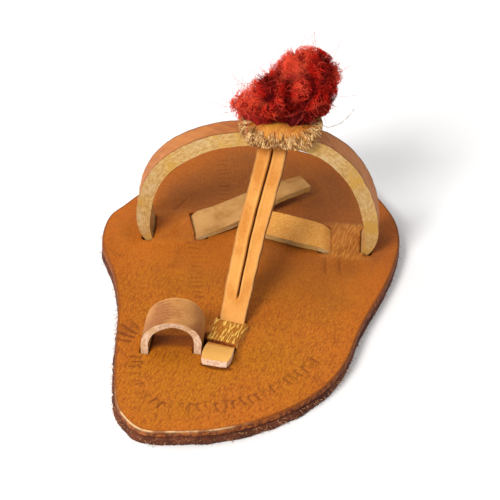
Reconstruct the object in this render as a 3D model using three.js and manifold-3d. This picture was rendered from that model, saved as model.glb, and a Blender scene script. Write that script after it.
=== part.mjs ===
// Miniature kolhapuri sandal, the left one of a pair: a flat sole of two cut leather layers, one
// leather strip woven through slots in the insole as the instep strap, a thong strap, a toe loop,
// a leather rosette over the strap crossing, and a wool pompom.
// Millimetres. +Y points to the toe, +X to the medial (big toe) side, +Z up. The origin is on the
// floor under the middle of the sole.

import * as THREE from 'three';
import { mergeVertices } from 'three/addons/utils/BufferGeometryUtils.js';
import Module from 'manifold-3d';

const wasm = await Module();
wasm.setup();

// ---- driving dimensions ----
const LENGTH = 80;                 // sole, heel to toe
const WIDTH = 50;                  // sole, across the two side wings
const OUTSOLE_THICK = 1.5;
const INSOLE_THICK = 1.1;
const LAYER_GAP = 0.2;             // between the two sole layers
const CLEARANCE = 0.3;             // between a strap and the leather that it passes through
const BRIDGE_RISE = 1.15;          // how far the insole swells over a strap that runs under it
const HEEL_HOLE = { across: 4.1, along: -31.7, radius: 1.7 };

const INSOLE_BASE = OUTSOLE_THICK + LAYER_GAP;
const INSOLE_TOP = INSOLE_BASE + INSOLE_THICK;
const STEPS_PER_SPAN = 4;          // curve samples between two stations

// The instep strap runs along its own line across the shoe: `along` is measured on that line from
// its middle, to the medial side, and `front` at right angles to it, towards the toe.
const STRAP_MIDDLE = { x: -0.65, y: -13.8 };
const STRAP_SKEW = 15.3;           // degrees between the strap line and +X

// The toe loop stands on its own line, measured from its lateral slot.
const LOOP_FOOT = { x: -0.65, y: 16.7 };
const LOOP_SKEW = 21.3;

const rad = THREE.MathUtils.degToRad;

// ---- tables ----

// In every table up is the height above the insole's top face.

// Sole outline, once round from the medial wing over the toe: fractions of the length and width.
const OUTLINE = [
  { along: -0.120, across: 0.500 },
  { along: -0.024, across: 0.470 },
  { along: 0.061, across: 0.378 },
  { along: 0.149, across: 0.308 },
  { along: 0.261, across: 0.246 },
  { along: 0.370, across: 0.186 },
  { along: 0.461, across: 0.116 },
  { along: 0.500, across: 0.018 },
  { along: 0.481, across: -0.090 },
  { along: 0.446, across: -0.206 },
  { along: 0.395, across: -0.308 },
  { along: 0.330, across: -0.392 },
  { along: 0.254, across: -0.458 },
  { along: 0.165, across: -0.490 },
  { along: 0.038, across: -0.486 },
  { along: -0.100, across: -0.498 },
  { along: -0.185, across: -0.4955 },
  { along: -0.262, across: -0.477 },
  { along: -0.327, across: -0.434 },
  { along: -0.380, across: -0.366 },
  { along: -0.433, across: -0.268 },
  { along: -0.487, across: -0.128 },
  { along: -0.4985, across: 0.010 },
  { along: -0.4965, across: 0.140 },
  { along: -0.461, across: 0.260 },
  { along: -0.3875, across: 0.352 },
  { along: -0.275, across: 0.416 },
  { along: -0.165, across: 0.478 },
];

// The strip of the instep strap, medial half: the tail on the insole, up through the inner slot,
// under the insole, out of the outer slot and up to the crown of the arch. turn is the direction
// of the strip's width on the floor plan, and tilt lifts its front edge.
const STRAP_MEDIAL = [
  { along: -7.4, front: -13.1, up: 2.00, turn: 127, tilt: 0, width: 3.5, thick: 1.0 },
  { along: -2.8, front: -9.9, up: 2.05, turn: 126, tilt: 0, width: 4.0, thick: 1.0 },
  { along: 1.7, front: -6.6, up: 1.72, turn: 127, tilt: 0, width: 4.8, thick: 1.0 },
  { along: 6.2, front: -3.2, up: 1.00, turn: 121, tilt: 0, width: 5.9, thick: 1.0 },
  { along: 9.6, front: -1.6, up: 0.35, turn: 106, tilt: 0, width: 6.6, thick: 0.9 },
  { along: 12.0, front: -0.7, up: -0.45, turn: 95, tilt: 0, width: 6.4, thick: 0.9 },
  { along: 15.2, front: -0.1, up: -0.50, turn: 90, tilt: 0, width: 6.2, thick: 0.9 },
  { along: 17.8, front: 0.0, up: -0.40, turn: 90, tilt: 0, width: 6.2, thick: 1.1 },
  { along: 19.0, front: 0.0, up: 0.90, turn: 90, tilt: 0, width: 6.2, thick: 1.6 },
  { along: 19.6, front: 0.0, up: 3.30, turn: 90, tilt: 0, width: 6.2, thick: 2.2 },
  { along: 19.5, front: 0.0, up: 6.90, turn: 90, tilt: 3, width: 6.2, thick: 2.5 },
  { along: 18.5, front: 0.0, up: 11.10, turn: 90, tilt: 7, width: 6.2, thick: 2.6 },
  { along: 16.2, front: 0.0, up: 15.00, turn: 90, tilt: 10, width: 6.2, thick: 2.6 },
  { along: 12.5, front: 0.0, up: 18.15, turn: 90, tilt: 13, width: 6.2, thick: 2.6 },
  { along: 8.2, front: 0.0, up: 20.35, turn: 90, tilt: 15, width: 6.2, thick: 2.5 },
  { along: 3.6, front: 0.0, up: 21.45, turn: 90, tilt: 16, width: 6.2, thick: 2.4 },
  { along: -1.2, front: 0.0, up: 21.70, turn: 90, tilt: 16, width: 6.2, thick: 2.3 },
];

// The lateral half, from just past the crown down to the tail under the medial one.
const STRAP_LATERAL = [
  { along: 1.2, front: 0.0, up: 21.70, turn: 90, tilt: 16, width: 6.2, thick: 2.3 },
  { along: -1.2, front: 0.0, up: 21.70, turn: 90, tilt: 16, width: 6.2, thick: 2.3 },
  { along: -5.8, front: 0.0, up: 21.40, turn: 90, tilt: 16, width: 6.2, thick: 2.4 },
  { along: -10.0, front: 0.0, up: 20.05, turn: 90, tilt: 15, width: 6.2, thick: 2.5 },
  { along: -13.7, front: 0.0, up: 17.25, turn: 90, tilt: 12, width: 6.2, thick: 2.6 },
  { along: -16.6, front: 0.0, up: 13.20, turn: 90, tilt: 9, width: 6.2, thick: 2.6 },
  { along: -18.3, front: 0.0, up: 9.00, turn: 90, tilt: 5, width: 6.2, thick: 2.6 },
  { along: -19.1, front: 0.0, up: 5.10, turn: 90, tilt: 2, width: 6.2, thick: 2.4 },
  { along: -19.2, front: 0.0, up: 2.60, turn: 90, tilt: 0, width: 6.2, thick: 2.0 },
  { along: -18.7, front: 0.0, up: 0.80, turn: 90, tilt: 0, width: 6.2, thick: 1.5 },
  { along: -17.5, front: 0.0, up: -0.40, turn: 90, tilt: 0, width: 6.2, thick: 1.1 },
  { along: -15.4, front: 0.0, up: -0.50, turn: 90, tilt: 0, width: 6.2, thick: 0.9 },
  { along: -13.1, front: 0.1, up: -0.45, turn: 92, tilt: 0, width: 6.4, thick: 0.9 },
  { along: -10.9, front: 0.1, up: 0.35, turn: 93, tilt: 0, width: 6.6, thick: 0.9 },
  { along: -7.8, front: -0.4, up: 0.80, turn: 84, tilt: 0, width: 6.7, thick: 0.9 },
  { along: -3.6, front: -1.6, up: 0.82, turn: 77, tilt: 0, width: 6.6, thick: 0.9 },
  { along: 2.1, front: -3.0, up: 0.84, turn: 76, tilt: 0, width: 6.4, thick: 0.9 },
];

// The thong strap: from under the crown of the instep strap down to its slot, under the insole
// and up through the front slot as a short tab.
const THONG = [
  { x: -2.1, y: -15.2, up: 21.20, turn: 4, tilt: 0, width: 5.0, thick: 1.3 },
  { x: -2.6, y: -12.2, up: 18.80, turn: 4, tilt: 0, width: 4.9, thick: 1.3 },
  { x: -2.8, y: -7.5, up: 14.70, turn: 4, tilt: 0, width: 4.8, thick: 1.3 },
  { x: -3.0, y: -1.0, up: 9.10, turn: 4, tilt: 0, width: 4.7, thick: 1.3 },
  { x: -3.5, y: 4.8, up: 4.20, turn: 3, tilt: 0, width: 4.5, thick: 1.3 },
  { x: -3.9, y: 8.9, up: 0.80, turn: 2, tilt: 0, width: 4.2, thick: 1.2 },
  { x: -4.1, y: 10.9, up: -0.40, turn: 0, tilt: 0, width: 4.1, thick: 1.0 },
  { x: -4.1, y: 13.1, up: -0.50, turn: 0, tilt: 0, width: 4.2, thick: 0.9 },
  { x: -4.2, y: 15.5, up: -0.40, turn: -4, tilt: 0, width: 4.4, thick: 0.9 },
  { x: -4.5, y: 17.6, up: 0.65, turn: 4, tilt: 0, width: 4.7, thick: 1.0 },
  { x: -5.0, y: 21.6, up: 1.20, turn: 8, tilt: 0, width: 4.9, thick: 1.1 },
];

// The toe loop, from its lateral foot over to its medial foot.
const TOE_LOOP = [
  { along: 0.00, front: 0, up: -0.98, turn: 80, tilt: 0, width: 5.2, thick: 1.1 },
  { along: -0.05, front: 0, up: 0.80, turn: 80, tilt: -2, width: 5.2, thick: 1.2 },
  { along: 0.05, front: 0, up: 2.70, turn: 80, tilt: -6, width: 5.2, thick: 1.2 },
  { along: 0.95, front: 0, up: 4.65, turn: 80, tilt: -11, width: 5.2, thick: 1.2 },
  { along: 2.40, front: 0, up: 5.85, turn: 80, tilt: -14, width: 5.2, thick: 1.2 },
  { along: 4.40, front: 0, up: 6.25, turn: 80, tilt: -14, width: 5.2, thick: 1.2 },
  { along: 6.50, front: 0, up: 5.65, turn: 80, tilt: -13, width: 5.2, thick: 1.2 },
  { along: 7.90, front: 0, up: 4.30, turn: 80, tilt: -9, width: 5.2, thick: 1.2 },
  { along: 8.60, front: 0, up: 2.40, turn: 80, tilt: -4, width: 5.2, thick: 1.2 },
  { along: 8.60, front: 0, up: 0.60, turn: 80, tilt: 0, width: 5.2, thick: 1.2 },
  { along: 8.55, front: 0, up: -0.98, turn: 80, tilt: 0, width: 5.2, thick: 1.1 },
];

// Where the insole swells over a strip that runs under it, from slot to slot.
const BRIDGES = [
  { name: 'medial', from: onStrap(18.4, 0.0), to: onStrap(11.2, -0.9), half: 5.4 },
  { name: 'lateral', from: onStrap(-18.1, 0.0), to: onStrap(-12.3, 0.1), half: 5.2 },
  { name: 'thong', from: { x: -4.1, y: 10.3 }, to: { x: -4.2, y: 16.3 }, half: 4.0 },
];

// The rosette's middle line over the strap, from its curled front edge to its rear tongue.
const ROSETTE_THICK = 1.0;
const ROSETTE_ALONG = -2.6;        // its middle on the strap line
const ROSETTE_BEND = 34;           // radius of its droop to both sides
const ROSETTE = [
  { front: 4.20, up: 22.3, half: 2.6 },
  { front: 4.20, up: 22.9, half: 4.4 },
  { front: 3.95, up: 23.75, half: 5.7 },
  { front: 3.25, up: 24.60, half: 6.3 },
  { front: 1.60, up: 24.95, half: 6.7 },
  { front: -0.80, up: 24.30, half: 6.8 },
  { front: -3.60, up: 23.45, half: 6.4 },
  { front: -7.50, up: 21.90, half: 5.9 },
  { front: -12.0, up: 19.90, half: 5.2 },
  { front: -16.5, up: 17.50, half: 4.2 },
];

// The lobes of the pompom: middle and radii along the strap line, to the front and up.
const POMPOM = [
  { along: -6.5, front: -1.2, up: 32.10, wide: 5.7, deep: 5.4, tall: 5.6 },
  { along: -1.8, front: -0.6, up: 29.30, wide: 4.6, deep: 4.2, tall: 4.2 },
  { along: 3.0, front: 0.2, up: 27.20, wide: 2.7, deep: 2.8, tall: 1.9 },
  { along: -7.2, front: -0.8, up: 28.90, wide: 3.9, deep: 4.0, tall: 3.6 },
];
const POMPOM_DETAIL = 5;           // subdivision of each lobe

// ---- places ----

function onStrap(along, front) {
  const turn = rad(STRAP_SKEW);
  return {
    x: STRAP_MIDDLE.x + along * Math.cos(turn) - front * Math.sin(turn),
    y: STRAP_MIDDLE.y + along * Math.sin(turn) + front * Math.cos(turn),
  };
}

function onLoop(along, front) {
  const turn = rad(LOOP_SKEW);
  return {
    x: LOOP_FOOT.x + along * Math.cos(turn) - front * Math.sin(turn),
    y: LOOP_FOOT.y + along * Math.sin(turn) + front * Math.cos(turn),
  };
}

// Rows on a skewed line become rows on the floor plan, their width direction turned with it.
const placed = (rows, place, skew) =>
  rows.map((row) => ({ ...row, ...place(row.along, row.front), turn: row.turn + skew }));

// ---- solids ----

function toSolid(geometry) {
  const bare = geometry.clone();
  bare.deleteAttribute('normal');
  bare.deleteAttribute('uv');
  const merged = mergeVertices(bare, 1e-5);
  return new wasm.Manifold(new wasm.Mesh({
    numProp: 3,
    vertProperties: new Float32Array(merged.attributes.position.array),
    triVerts: new Uint32Array(merged.index.array),
  }));
}

function toGeometry(solid) {
  const mesh = solid.getMesh();
  const geometry = new THREE.BufferGeometry();
  geometry.setAttribute('position', new THREE.BufferAttribute(mesh.vertProperties, 3));
  geometry.setIndex(new THREE.BufferAttribute(mesh.triVerts, 1));
  geometry.computeVertexNormals();
  return geometry;
}

// Joins rings of points into one closed solid. A ring is its upper side and then its lower side
// back again, so that each end closes with a strip of quads between the two sides.
function loft(rings) {
  const size = rings[0].length;
  const index = [];
  const quad = (a, b, c, d) => index.push(a, b, c, a, c, d);
  for (let ring = 0; ring < rings.length - 1; ring += 1) {
    for (let k = 0; k < size; k += 1) {
      const next = (k + 1) % size;
      quad(ring * size + k, (ring + 1) * size + k, (ring + 1) * size + next, ring * size + next);
    }
  }
  const last = (rings.length - 1) * size;
  for (let k = 0; k < size / 2 - 1; k += 1) {
    quad(k, k + 1, size - 2 - k, size - 1 - k);
    quad(last + k, last + size - 1 - k, last + size - 2 - k, last + k + 1);
  }
  const geometry = new THREE.BufferGeometry().setFromPoints(rings.flat());
  geometry.setIndex(volume(rings.flat(), index) < 0 ? index.reverse() : index);
  return geometry;
}

function volume(points, index) {
  let sum = 0;
  for (let k = 0; k < index.length; k += 3) {
    const [a, b, c] = [points[index[k]], points[index[k + 1]], points[index[k + 2]]];
    sum += a.dot(new THREE.Vector3().crossVectors(b, c)) / 6;
  }
  return sum;
}

// Samples a smooth curve through the rows, with every other column blended between them.
function sampled(rows) {
  const curve = new THREE.CatmullRomCurve3(
    rows.map((row) => new THREE.Vector3(row.x, row.y, INSOLE_TOP + row.up)), false, 'centripetal');
  const spans = rows.length - 1;
  const count = spans * STEPS_PER_SPAN;
  return Array.from({ length: count + 1 }, (_, k) => {
    const span = Math.min(Math.floor(k / STEPS_PER_SPAN), spans - 1);
    const share = k / STEPS_PER_SPAN - span;
    const blend = (column) => THREE.MathUtils.lerp(rows[span][column], rows[span + 1][column], share);
    return {
      middle: curve.getPoint(k / count),
      ahead: curve.getTangent(k / count),
      turn: rad(blend('turn')),
      tilt: rad(blend('tilt')),
      width: blend('width'),
      thick: blend('thick'),
    };
  });
}

// A leather strip with its edges slightly broken; grow widens it all round for cutting its slots.
function strip(rows, grow = 0) {
  const samples = sampled(rows);
  const broken = 0.2;
  const rings = samples.map(({ middle, ahead, turn, tilt, width, thick }, k) => {
    const across = new THREE.Vector3(
      Math.cos(turn) * Math.cos(tilt), Math.sin(turn) * Math.cos(tilt), Math.sin(tilt));
    across.addScaledVector(ahead, -across.dot(ahead)).normalize();
    const face = new THREE.Vector3().crossVectors(ahead, across);
    const a = width / 2 + grow;
    const b = thick / 2 + grow;
    const end = { [0]: -grow, [samples.length - 1]: grow }[k] ?? 0;
    const corner = (u, v) => middle.clone()
      .addScaledVector(across, u).addScaledVector(face, v).addScaledVector(ahead, end);
    return [
      corner(-a, b - broken), corner(-a + broken, b), corner(a - broken, b), corner(a, b - broken),
      corner(a, broken - b), corner(a - broken, -b), corner(broken - a, -b), corner(-a, broken - b),
    ];
  });
  return toSolid(loft(rings));
}

// The rosette: a sheet that follows its middle line and droops to both sides.
function rosetteSheet(grow = 0) {
  const rows = ROSETTE.map((row) => ({ ...row, x: 0, y: row.front, turn: 0, tilt: 0, width: 2 * row.half,
    thick: ROSETTE_THICK }));
  const columns = 7;
  const rings = sampled(rows).map(({ middle, ahead, width }) => {
    const normal = new THREE.Vector2(ahead.z, -ahead.y);
    const side = (offset) => Array.from({ length: columns }, (_, k) => {
      const aside = (k / (columns - 1) - 0.5) * (width + 2 * grow);
      const spot = onStrap(ROSETTE_ALONG + aside, middle.y + normal.x * offset);
      const droop = aside * aside / (2 * ROSETTE_BEND);
      return new THREE.Vector3(spot.x, spot.y, middle.z + normal.y * offset - droop);
    });
    return [...side(ROSETTE_THICK / 2 + grow), ...side(-ROSETTE_THICK / 2 - grow).reverse()];
  });
  return toSolid(loft(rings));
}

function soleLayer(base, thick) {
  const curve = new THREE.CatmullRomCurve3(
    OUTLINE.map(({ along, across }) => new THREE.Vector3(across * WIDTH, along * LENGTH, 0)),
    true, 'centripetal');
  const shape = new THREE.Shape(curve.getPoints(OUTLINE.length * STEPS_PER_SPAN).slice(0, -1)
    .map(({ x, y }) => new THREE.Vector2(x, y)));
  const hole = new THREE.Path();
  hole.absarc(HEEL_HOLE.across, HEEL_HOLE.along, HEEL_HOLE.radius, 0, 2 * Math.PI);
  shape.holes.push(hole);
  const layer = new THREE.ExtrudeGeometry(shape, { depth: thick, bevelEnabled: false, curveSegments: 10 });
  return toSolid(layer.translate(0, 0, base));
}

// A low arch of insole leather between two slots.
function bridge({ from, to, half }) {
  const start = new THREE.Vector3(from.x, from.y, INSOLE_TOP);
  const ahead = new THREE.Vector3(to.x - from.x, to.y - from.y, 0);
  const arch = new THREE.Shape();
  const sunk = INSOLE_THICK / 2;
  arch.moveTo(-half, -sunk);
  arch.lineTo(half, -sunk);
  arch.absellipse(0, 0, half, BRIDGE_RISE, 0, Math.PI);
  const run = new THREE.ExtrudeGeometry(arch,
    { depth: ahead.length(), bevelEnabled: false, curveSegments: 12 });
  const up = new THREE.Vector3(0, 0, 1);
  ahead.normalize();
  const across = new THREE.Vector3().crossVectors(up, ahead);
  run.applyMatrix4(new THREE.Matrix4().makeBasis(across, up, ahead).setPosition(start));
  return toSolid(run);
}

function lobe({ along, front, up, wide, deep, tall }) {
  const ball = new THREE.IcosahedronGeometry(1, POMPOM_DETAIL);
  const { x, y } = onStrap(along, front);
  ball.scale(wide, deep, tall).rotateZ(rad(STRAP_SKEW)).translate(x, y, INSOLE_TOP + up);
  return toSolid(ball);
}

const join = (solids) => solids.reduce((whole, solid) => whole.add(solid));

// ---- the sandal ----

const strapHalves = [STRAP_MEDIAL, STRAP_LATERAL].map((rows) => placed(rows, onStrap, STRAP_SKEW));
const loopRows = placed(TOE_LOOP, onLoop, LOOP_SKEW);

const upper = join([...strapHalves, THONG].map((rows) => strip(rows)));
const toeLoop = strip(loopRows);
const cutters = join([...strapHalves, THONG, loopRows].map((rows) => strip(rows, CLEARANCE)));
const outsole = soleLayer(0, OUTSOLE_THICK);
const insole = join([soleLayer(INSOLE_BASE, INSOLE_THICK), ...BRIDGES.map(bridge)]).subtract(cutters);
const rosette = rosetteSheet();
const pompom = join(POMPOM.map(lobe)).subtract(rosetteSheet(CLEARANCE));

const LEATHER = {
  tan: { color: 0xc8762f, roughness: 0.62 },
  edge: { color: 0x7a4220, roughness: 0.85 },
  strap: { color: 0xdc9a52, roughness: 0.6 },
};
const WOOL = { color: 0xc01f1c, roughness: 0.95 };

const sandal = new THREE.Group();
sandal.name = 'kolhapuri_sandal';

function addPiece(name, solid, finish) {
  const mesh = new THREE.Mesh(toGeometry(solid), new THREE.MeshStandardMaterial({ ...finish, metalness: 0 }));
  mesh.name = name;
  sandal.add(mesh);
}

addPiece('outsole', outsole, LEATHER.edge);
addPiece('insole', insole, LEATHER.tan);
addPiece('upper', upper, LEATHER.strap);
addPiece('toe_loop', toeLoop, LEATHER.strap);
addPiece('rosette', rosette, LEATHER.tan);
addPiece('pompom', pompom, WOOL);

export default sandal;
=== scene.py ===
"""The left miniature kolhapuri sandal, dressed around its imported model.

Two cut leather sole layers, one strip woven through slots as the instep strap, a slit thong strap,
a toe loop, a pinked leather rosette and a teased wool pompom. Sizes are in millimetres and become
metres when a piece is finished. +Y points to the toe, +X to the medial side, +Z up.
"""

import math
import random

import bmesh
import bpy
import numpy as np
from mathutils import Matrix, Vector, kdtree, noise


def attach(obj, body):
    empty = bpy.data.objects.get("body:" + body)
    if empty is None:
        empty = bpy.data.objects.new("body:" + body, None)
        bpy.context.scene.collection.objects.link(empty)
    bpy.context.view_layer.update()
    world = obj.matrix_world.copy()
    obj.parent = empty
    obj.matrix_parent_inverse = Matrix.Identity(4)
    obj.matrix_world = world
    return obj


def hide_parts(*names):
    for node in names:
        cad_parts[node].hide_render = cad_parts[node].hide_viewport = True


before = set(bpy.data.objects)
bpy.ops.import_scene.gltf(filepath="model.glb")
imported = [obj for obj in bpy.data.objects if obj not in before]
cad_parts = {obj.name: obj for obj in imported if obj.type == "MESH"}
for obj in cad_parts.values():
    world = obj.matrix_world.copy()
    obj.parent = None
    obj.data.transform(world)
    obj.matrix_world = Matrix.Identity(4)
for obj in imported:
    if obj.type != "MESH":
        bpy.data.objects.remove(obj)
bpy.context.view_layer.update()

MM = 0.001

# ---- sizes ----

LENGTH = 80.0
WIDTH = 50.0
OUTSOLE_TOP = 1.66
INSOLE_BASE = 1.7
INSOLE_TOP = 2.8
HEEL_HOLE = {"middle": (4.1, -31.7), "radius": 1.7}

STRAP_WIDTH = 6.2
STRAP_THICK = 2.4
THONG_WIDTH = 4.7
THONG_THICK = 1.25
LOOP_WIDTH = 5.2
LOOP_THICK = 1.2
LOOP_SPAN = 8.6

# The reliefs of the strips: the strap's slanting ridges, the thong's slit with its lips and its cut
# tip, and the lines round the loop.
STRAP_RIDGE_PITCH = 1.9
STRAP_RIDGE_HEIGHT = 0.10
SLIT_DEPTH = 0.62
SLIT_HALF = 0.15
LIP_HEIGHT = 0.10
TIP_LENGTH = 1.7
LOOP_LINE_PITCH = 0.62
LOOP_LINE_HEIGHT = 0.055

# How each flat strip is cut up: its cells along and across, the cuts in its sides, its broken corner.
STRAP_MESH = {"cells": (0.36, 0.30), "wall_cuts": 5, "corner": 0.20}
THONG_MESH = {"cells": (0.36, 0.12), "wall_cuts": 3, "corner": 0.16}
LOOP_MESH = {"cells": (0.28, 0.16), "wall_cuts": 3, "corner": 0.16}

# The uncut sole sheets, the cells of each sheet, the steps between torn fibres and the insole's
# rounded top corner.
SHEET_LOW = (-25.2, -40.2)
SHEET_HIGH = (25.2, 40.2)
INSOLE_CELL = 0.28
OUTSOLE_CELL = 0.9
ROSETTE_CELL = 0.24
FRINGE_STEP = 0.16
TORN_STEP = 0.5
INSOLE_CORNER = 0.36
INSOLE_CORNER_DROP = 0.30

# The angles, in degrees, up to which the edges of each kind of piece are shaded smooth.
STRIP_ANGLE = 40
SHEET_ANGLE = 50
TORN_ANGLE = 60
FIBRE_ANGLE = 80

STRAP_MIDDLE = (-0.65, -13.8)
STRAP_SKEW = 15.3
LOOP_FOOT = (-0.65, 16.7)
LOOP_SKEW = 21.3

# Sole outline once round from the medial wing over the toe: along and across, as fractions.
OUTLINE = [
    (-0.120, 0.500), (-0.024, 0.470), (0.061, 0.378), (0.149, 0.308), (0.261, 0.246),
    (0.370, 0.186), (0.461, 0.116), (0.500, 0.018), (0.481, -0.090), (0.446, -0.206),
    (0.395, -0.308), (0.330, -0.392), (0.254, -0.458), (0.165, -0.490), (0.038, -0.486),
    (-0.100, -0.498), (-0.185, -0.4955), (-0.262, -0.477), (-0.327, -0.434), (-0.380, -0.366),
    (-0.433, -0.268), (-0.487, -0.128), (-0.4985, 0.010), (-0.4965, 0.140), (-0.461, 0.260),
    (-0.3875, 0.352), (-0.275, 0.416), (-0.165, 0.478),
]

# The instep strap from its medial tail, through the slots, over the arch to its lateral tail:
# along the strap line, front, up from the insole, turn and tilt of its width, width, thickness.
INSTEP_STRAP = [
    (-7.4, -13.1, 2.00, 127, 0, 3.5, 1.0), (-2.8, -9.9, 2.05, 126, 0, 4.0, 1.0),
    (1.7, -6.6, 1.72, 127, 0, 4.8, 1.0), (6.2, -3.2, 1.00, 121, 0, 5.9, 1.0),
    (9.6, -1.6, 0.35, 106, 0, 6.6, 0.9), (12.0, -0.7, -0.78, 95, 0, 6.4, 0.55),
    (15.2, -0.1, -0.82, 90, 0, 6.2, 0.55), (17.8, 0.0, -0.70, 90, 0, 6.2, 0.7),
    (19.0, 0.0, 0.90, 90, 0, 6.2, 1.6), (19.6, 0.0, 3.30, 90, 0, 6.2, 2.2),
    (19.5, 0.0, 6.90, 90, 3, 6.2, 2.5), (18.5, 0.0, 11.10, 90, 7, 6.2, 2.6),
    (16.2, 0.0, 15.00, 90, 10, 6.2, 2.6), (12.5, 0.0, 18.15, 90, 13, 6.2, 2.6),
    (8.2, 0.0, 20.35, 90, 15, 6.2, 2.5), (3.6, 0.0, 21.45, 90, 16, 6.2, 2.4),
    (-1.2, 0.0, 21.70, 90, 16, 6.2, 2.3), (-5.8, 0.0, 21.40, 90, 16, 6.2, 2.4),
    (-10.0, 0.0, 20.05, 90, 15, 6.2, 2.5), (-13.7, 0.0, 17.25, 90, 12, 6.2, 2.6),
    (-16.6, 0.0, 13.20, 90, 9, 6.2, 2.6), (-18.3, 0.0, 9.00, 90, 5, 6.2, 2.6),
    (-19.1, 0.0, 5.10, 90, 2, 6.2, 2.4), (-19.2, 0.0, 2.60, 90, 0, 6.2, 2.0),
    (-18.7, 0.0, 0.80, 90, 0, 6.2, 1.5), (-17.5, 0.0, -0.70, 90, 0, 6.2, 0.7),
    (-15.4, 0.0, -0.82, 90, 0, 6.2, 0.55), (-13.1, 0.1, -0.78, 92, 0, 6.4, 0.55),
    (-10.9, 0.1, 0.35, 93, 0, 6.6, 0.9), (-7.8, -0.4, 0.80, 84, 0, 6.7, 0.9),
    (-3.6, -1.6, 0.82, 77, 0, 6.6, 0.9), (2.1, -3.0, 0.84, 76, 0, 6.4, 0.9),
]

# The thong strap: x, y, up, turn, tilt, width, thickness.
THONG = [
    (-2.1, -15.2, 21.20, 4, 0, 5.0, 1.3), (-2.6, -12.2, 18.80, 4, 0, 4.9, 1.3),
    (-2.8, -7.5, 14.70, 4, 0, 4.8, 1.3), (-3.0, -1.0, 9.10, 4, 0, 4.7, 1.3),
    (-3.5, 4.8, 4.20, 3, 0, 4.5, 1.3), (-3.9, 8.9, 0.80, 2, 0, 4.2, 1.2),
    (-4.1, 10.9, -0.62, 0, 0, 4.1, 0.6), (-4.1, 13.1, -0.75, 0, 0, 4.2, 0.55),
    (-4.2, 15.5, -0.62, -4, 0, 4.4, 0.6), (-4.5, 17.6, 0.65, 4, 0, 4.7, 1.0),
    (-5.0, 21.6, 1.20, 8, 0, 4.9, 1.1),
]
# Places along the flat strips: both ends of the thong's slit, and where the thong comes out as the
# free tab and the instep strap as its lateral tail.
THONG_SLIT = (2.2, 29.5)
TAB_START = 41.0
TAIL_START = 100.0

# The toe loop: along its own line, up from the insole, and tilt of its width.
TOE_LOOP = [
    (0.00, -0.98, 0), (-0.05, 0.80, -2), (0.05, 2.70, -6), (0.95, 4.65, -11), (2.40, 5.85, -14),
    (4.40, 6.25, -14), (6.50, 5.65, -13), (7.90, 4.30, -9), (8.60, 2.40, -4), (8.60, 0.60, 0),
    (8.55, -0.98, 0),
]
LOOP_TURN = 80

# The rosette's middle line over the strap: front, up from the insole, half its width.
ROSETTE = [
    (4.20, 22.3, 2.6), (4.20, 22.9, 4.4), (3.95, 23.75, 5.7), (3.25, 24.60, 6.3),
    (1.60, 24.95, 6.7), (-0.80, 24.30, 6.8), (-3.60, 23.45, 6.4), (-7.50, 21.90, 5.9),
    (-12.0, 19.90, 5.2), (-16.5, 17.50, 4.2),
]
ROSETTE_ALONG = -2.6
ROSETTE_BEND = 34.0
ROSETTE_THICK = 0.9
TOOTH_PITCH = 0.95
TOOTH_DEPTH = 0.30
# The cuts in the rosette's rear tongue: how far aside, and how they lean.
TONGUE_CUTS = ((-2.9, -6), (-1.1, -2), (0.8, 3), (2.6, 7))

# The lobes of the pompom: along, front, up from the insole, and the three radii.
POMPOM = [
    (-6.5, -1.2, 32.1, 5.7, 5.4, 5.6), (-1.8, -0.6, 29.3, 4.6, 4.2, 4.2),
    (3.0, 0.2, 27.2, 2.7, 2.8, 1.9), (-7.2, -0.8, 28.9, 3.9, 4.0, 3.6),
]
POMPOM_NECK = [(-4.8, 0.2, 26.3, 4.2, 3.2, 1.8), (0.8, 0.4, 26.0, 4.0, 2.8, 1.7)]
# Where the wool is painted lit or in shade: along, up, how far it spreads, how lit (1 painted highlight, 0
# painted shade).
PAINTED_WOOL_LIGHT = [
    (-4.6, 36.0, 3.4, 1.00), (-9.5, 35.5, 2.6, 0.15), (-6.2, 32.0, 2.6, 0.20),
    (-1.2, 31.5, 2.2, 0.45), (3.2, 27.2, 2.4, 1.00), (-3.6, 28.4, 3.0, 0.05),
    (-8.6, 29.0, 2.8, 0.10), (-10.8, 32.5, 1.6, 0.55), (0.8, 29.6, 1.5, 0.75),
    (-7.6, 30.9, 1.3, 0.60),
]
# The kinds of wool: how many tufts, fibres in a tuft, where they root and how far out they reach as
# shares of a lobe, and the length and radius of a fibre.
UNDER_WOOL = {"tufts": 90, "per_tuft": 15, "root": 0.62, "limit": 0.92, "length": 3.0, "radius": 0.075}
NECK_WOOL = {"tufts": 56, "per_tuft": 9, "root": 0.60, "limit": 1.00, "length": 1.7, "radius": 0.060}
OVER_WOOL = {"tufts": 260, "per_tuft": 11, "root": 0.80, "limit": 1.02, "length": 3.2, "radius": 0.050}
FELT_WOOL = {"tufts": 820, "per_tuft": 4, "root": 0.94, "limit": 1.05, "length": 1.5, "radius": 0.036}
CORE_SHARE = 0.78
CORE_CELL = 0.35
STRAY_HAIRS = 260

# The tie thread's loose end, out at the lateral side: along, front, up from the insole.
TIE_THREAD = [
    (-8.6, -0.6, 24.6), (-9.4, 0.6, 24.7), (-10.4, 1.2, 24.7), (-11.6, 1.0, 24.9),
    (-13.4, 0.2, 25.9), (-14.6, -0.4, 27.6),
]

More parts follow.
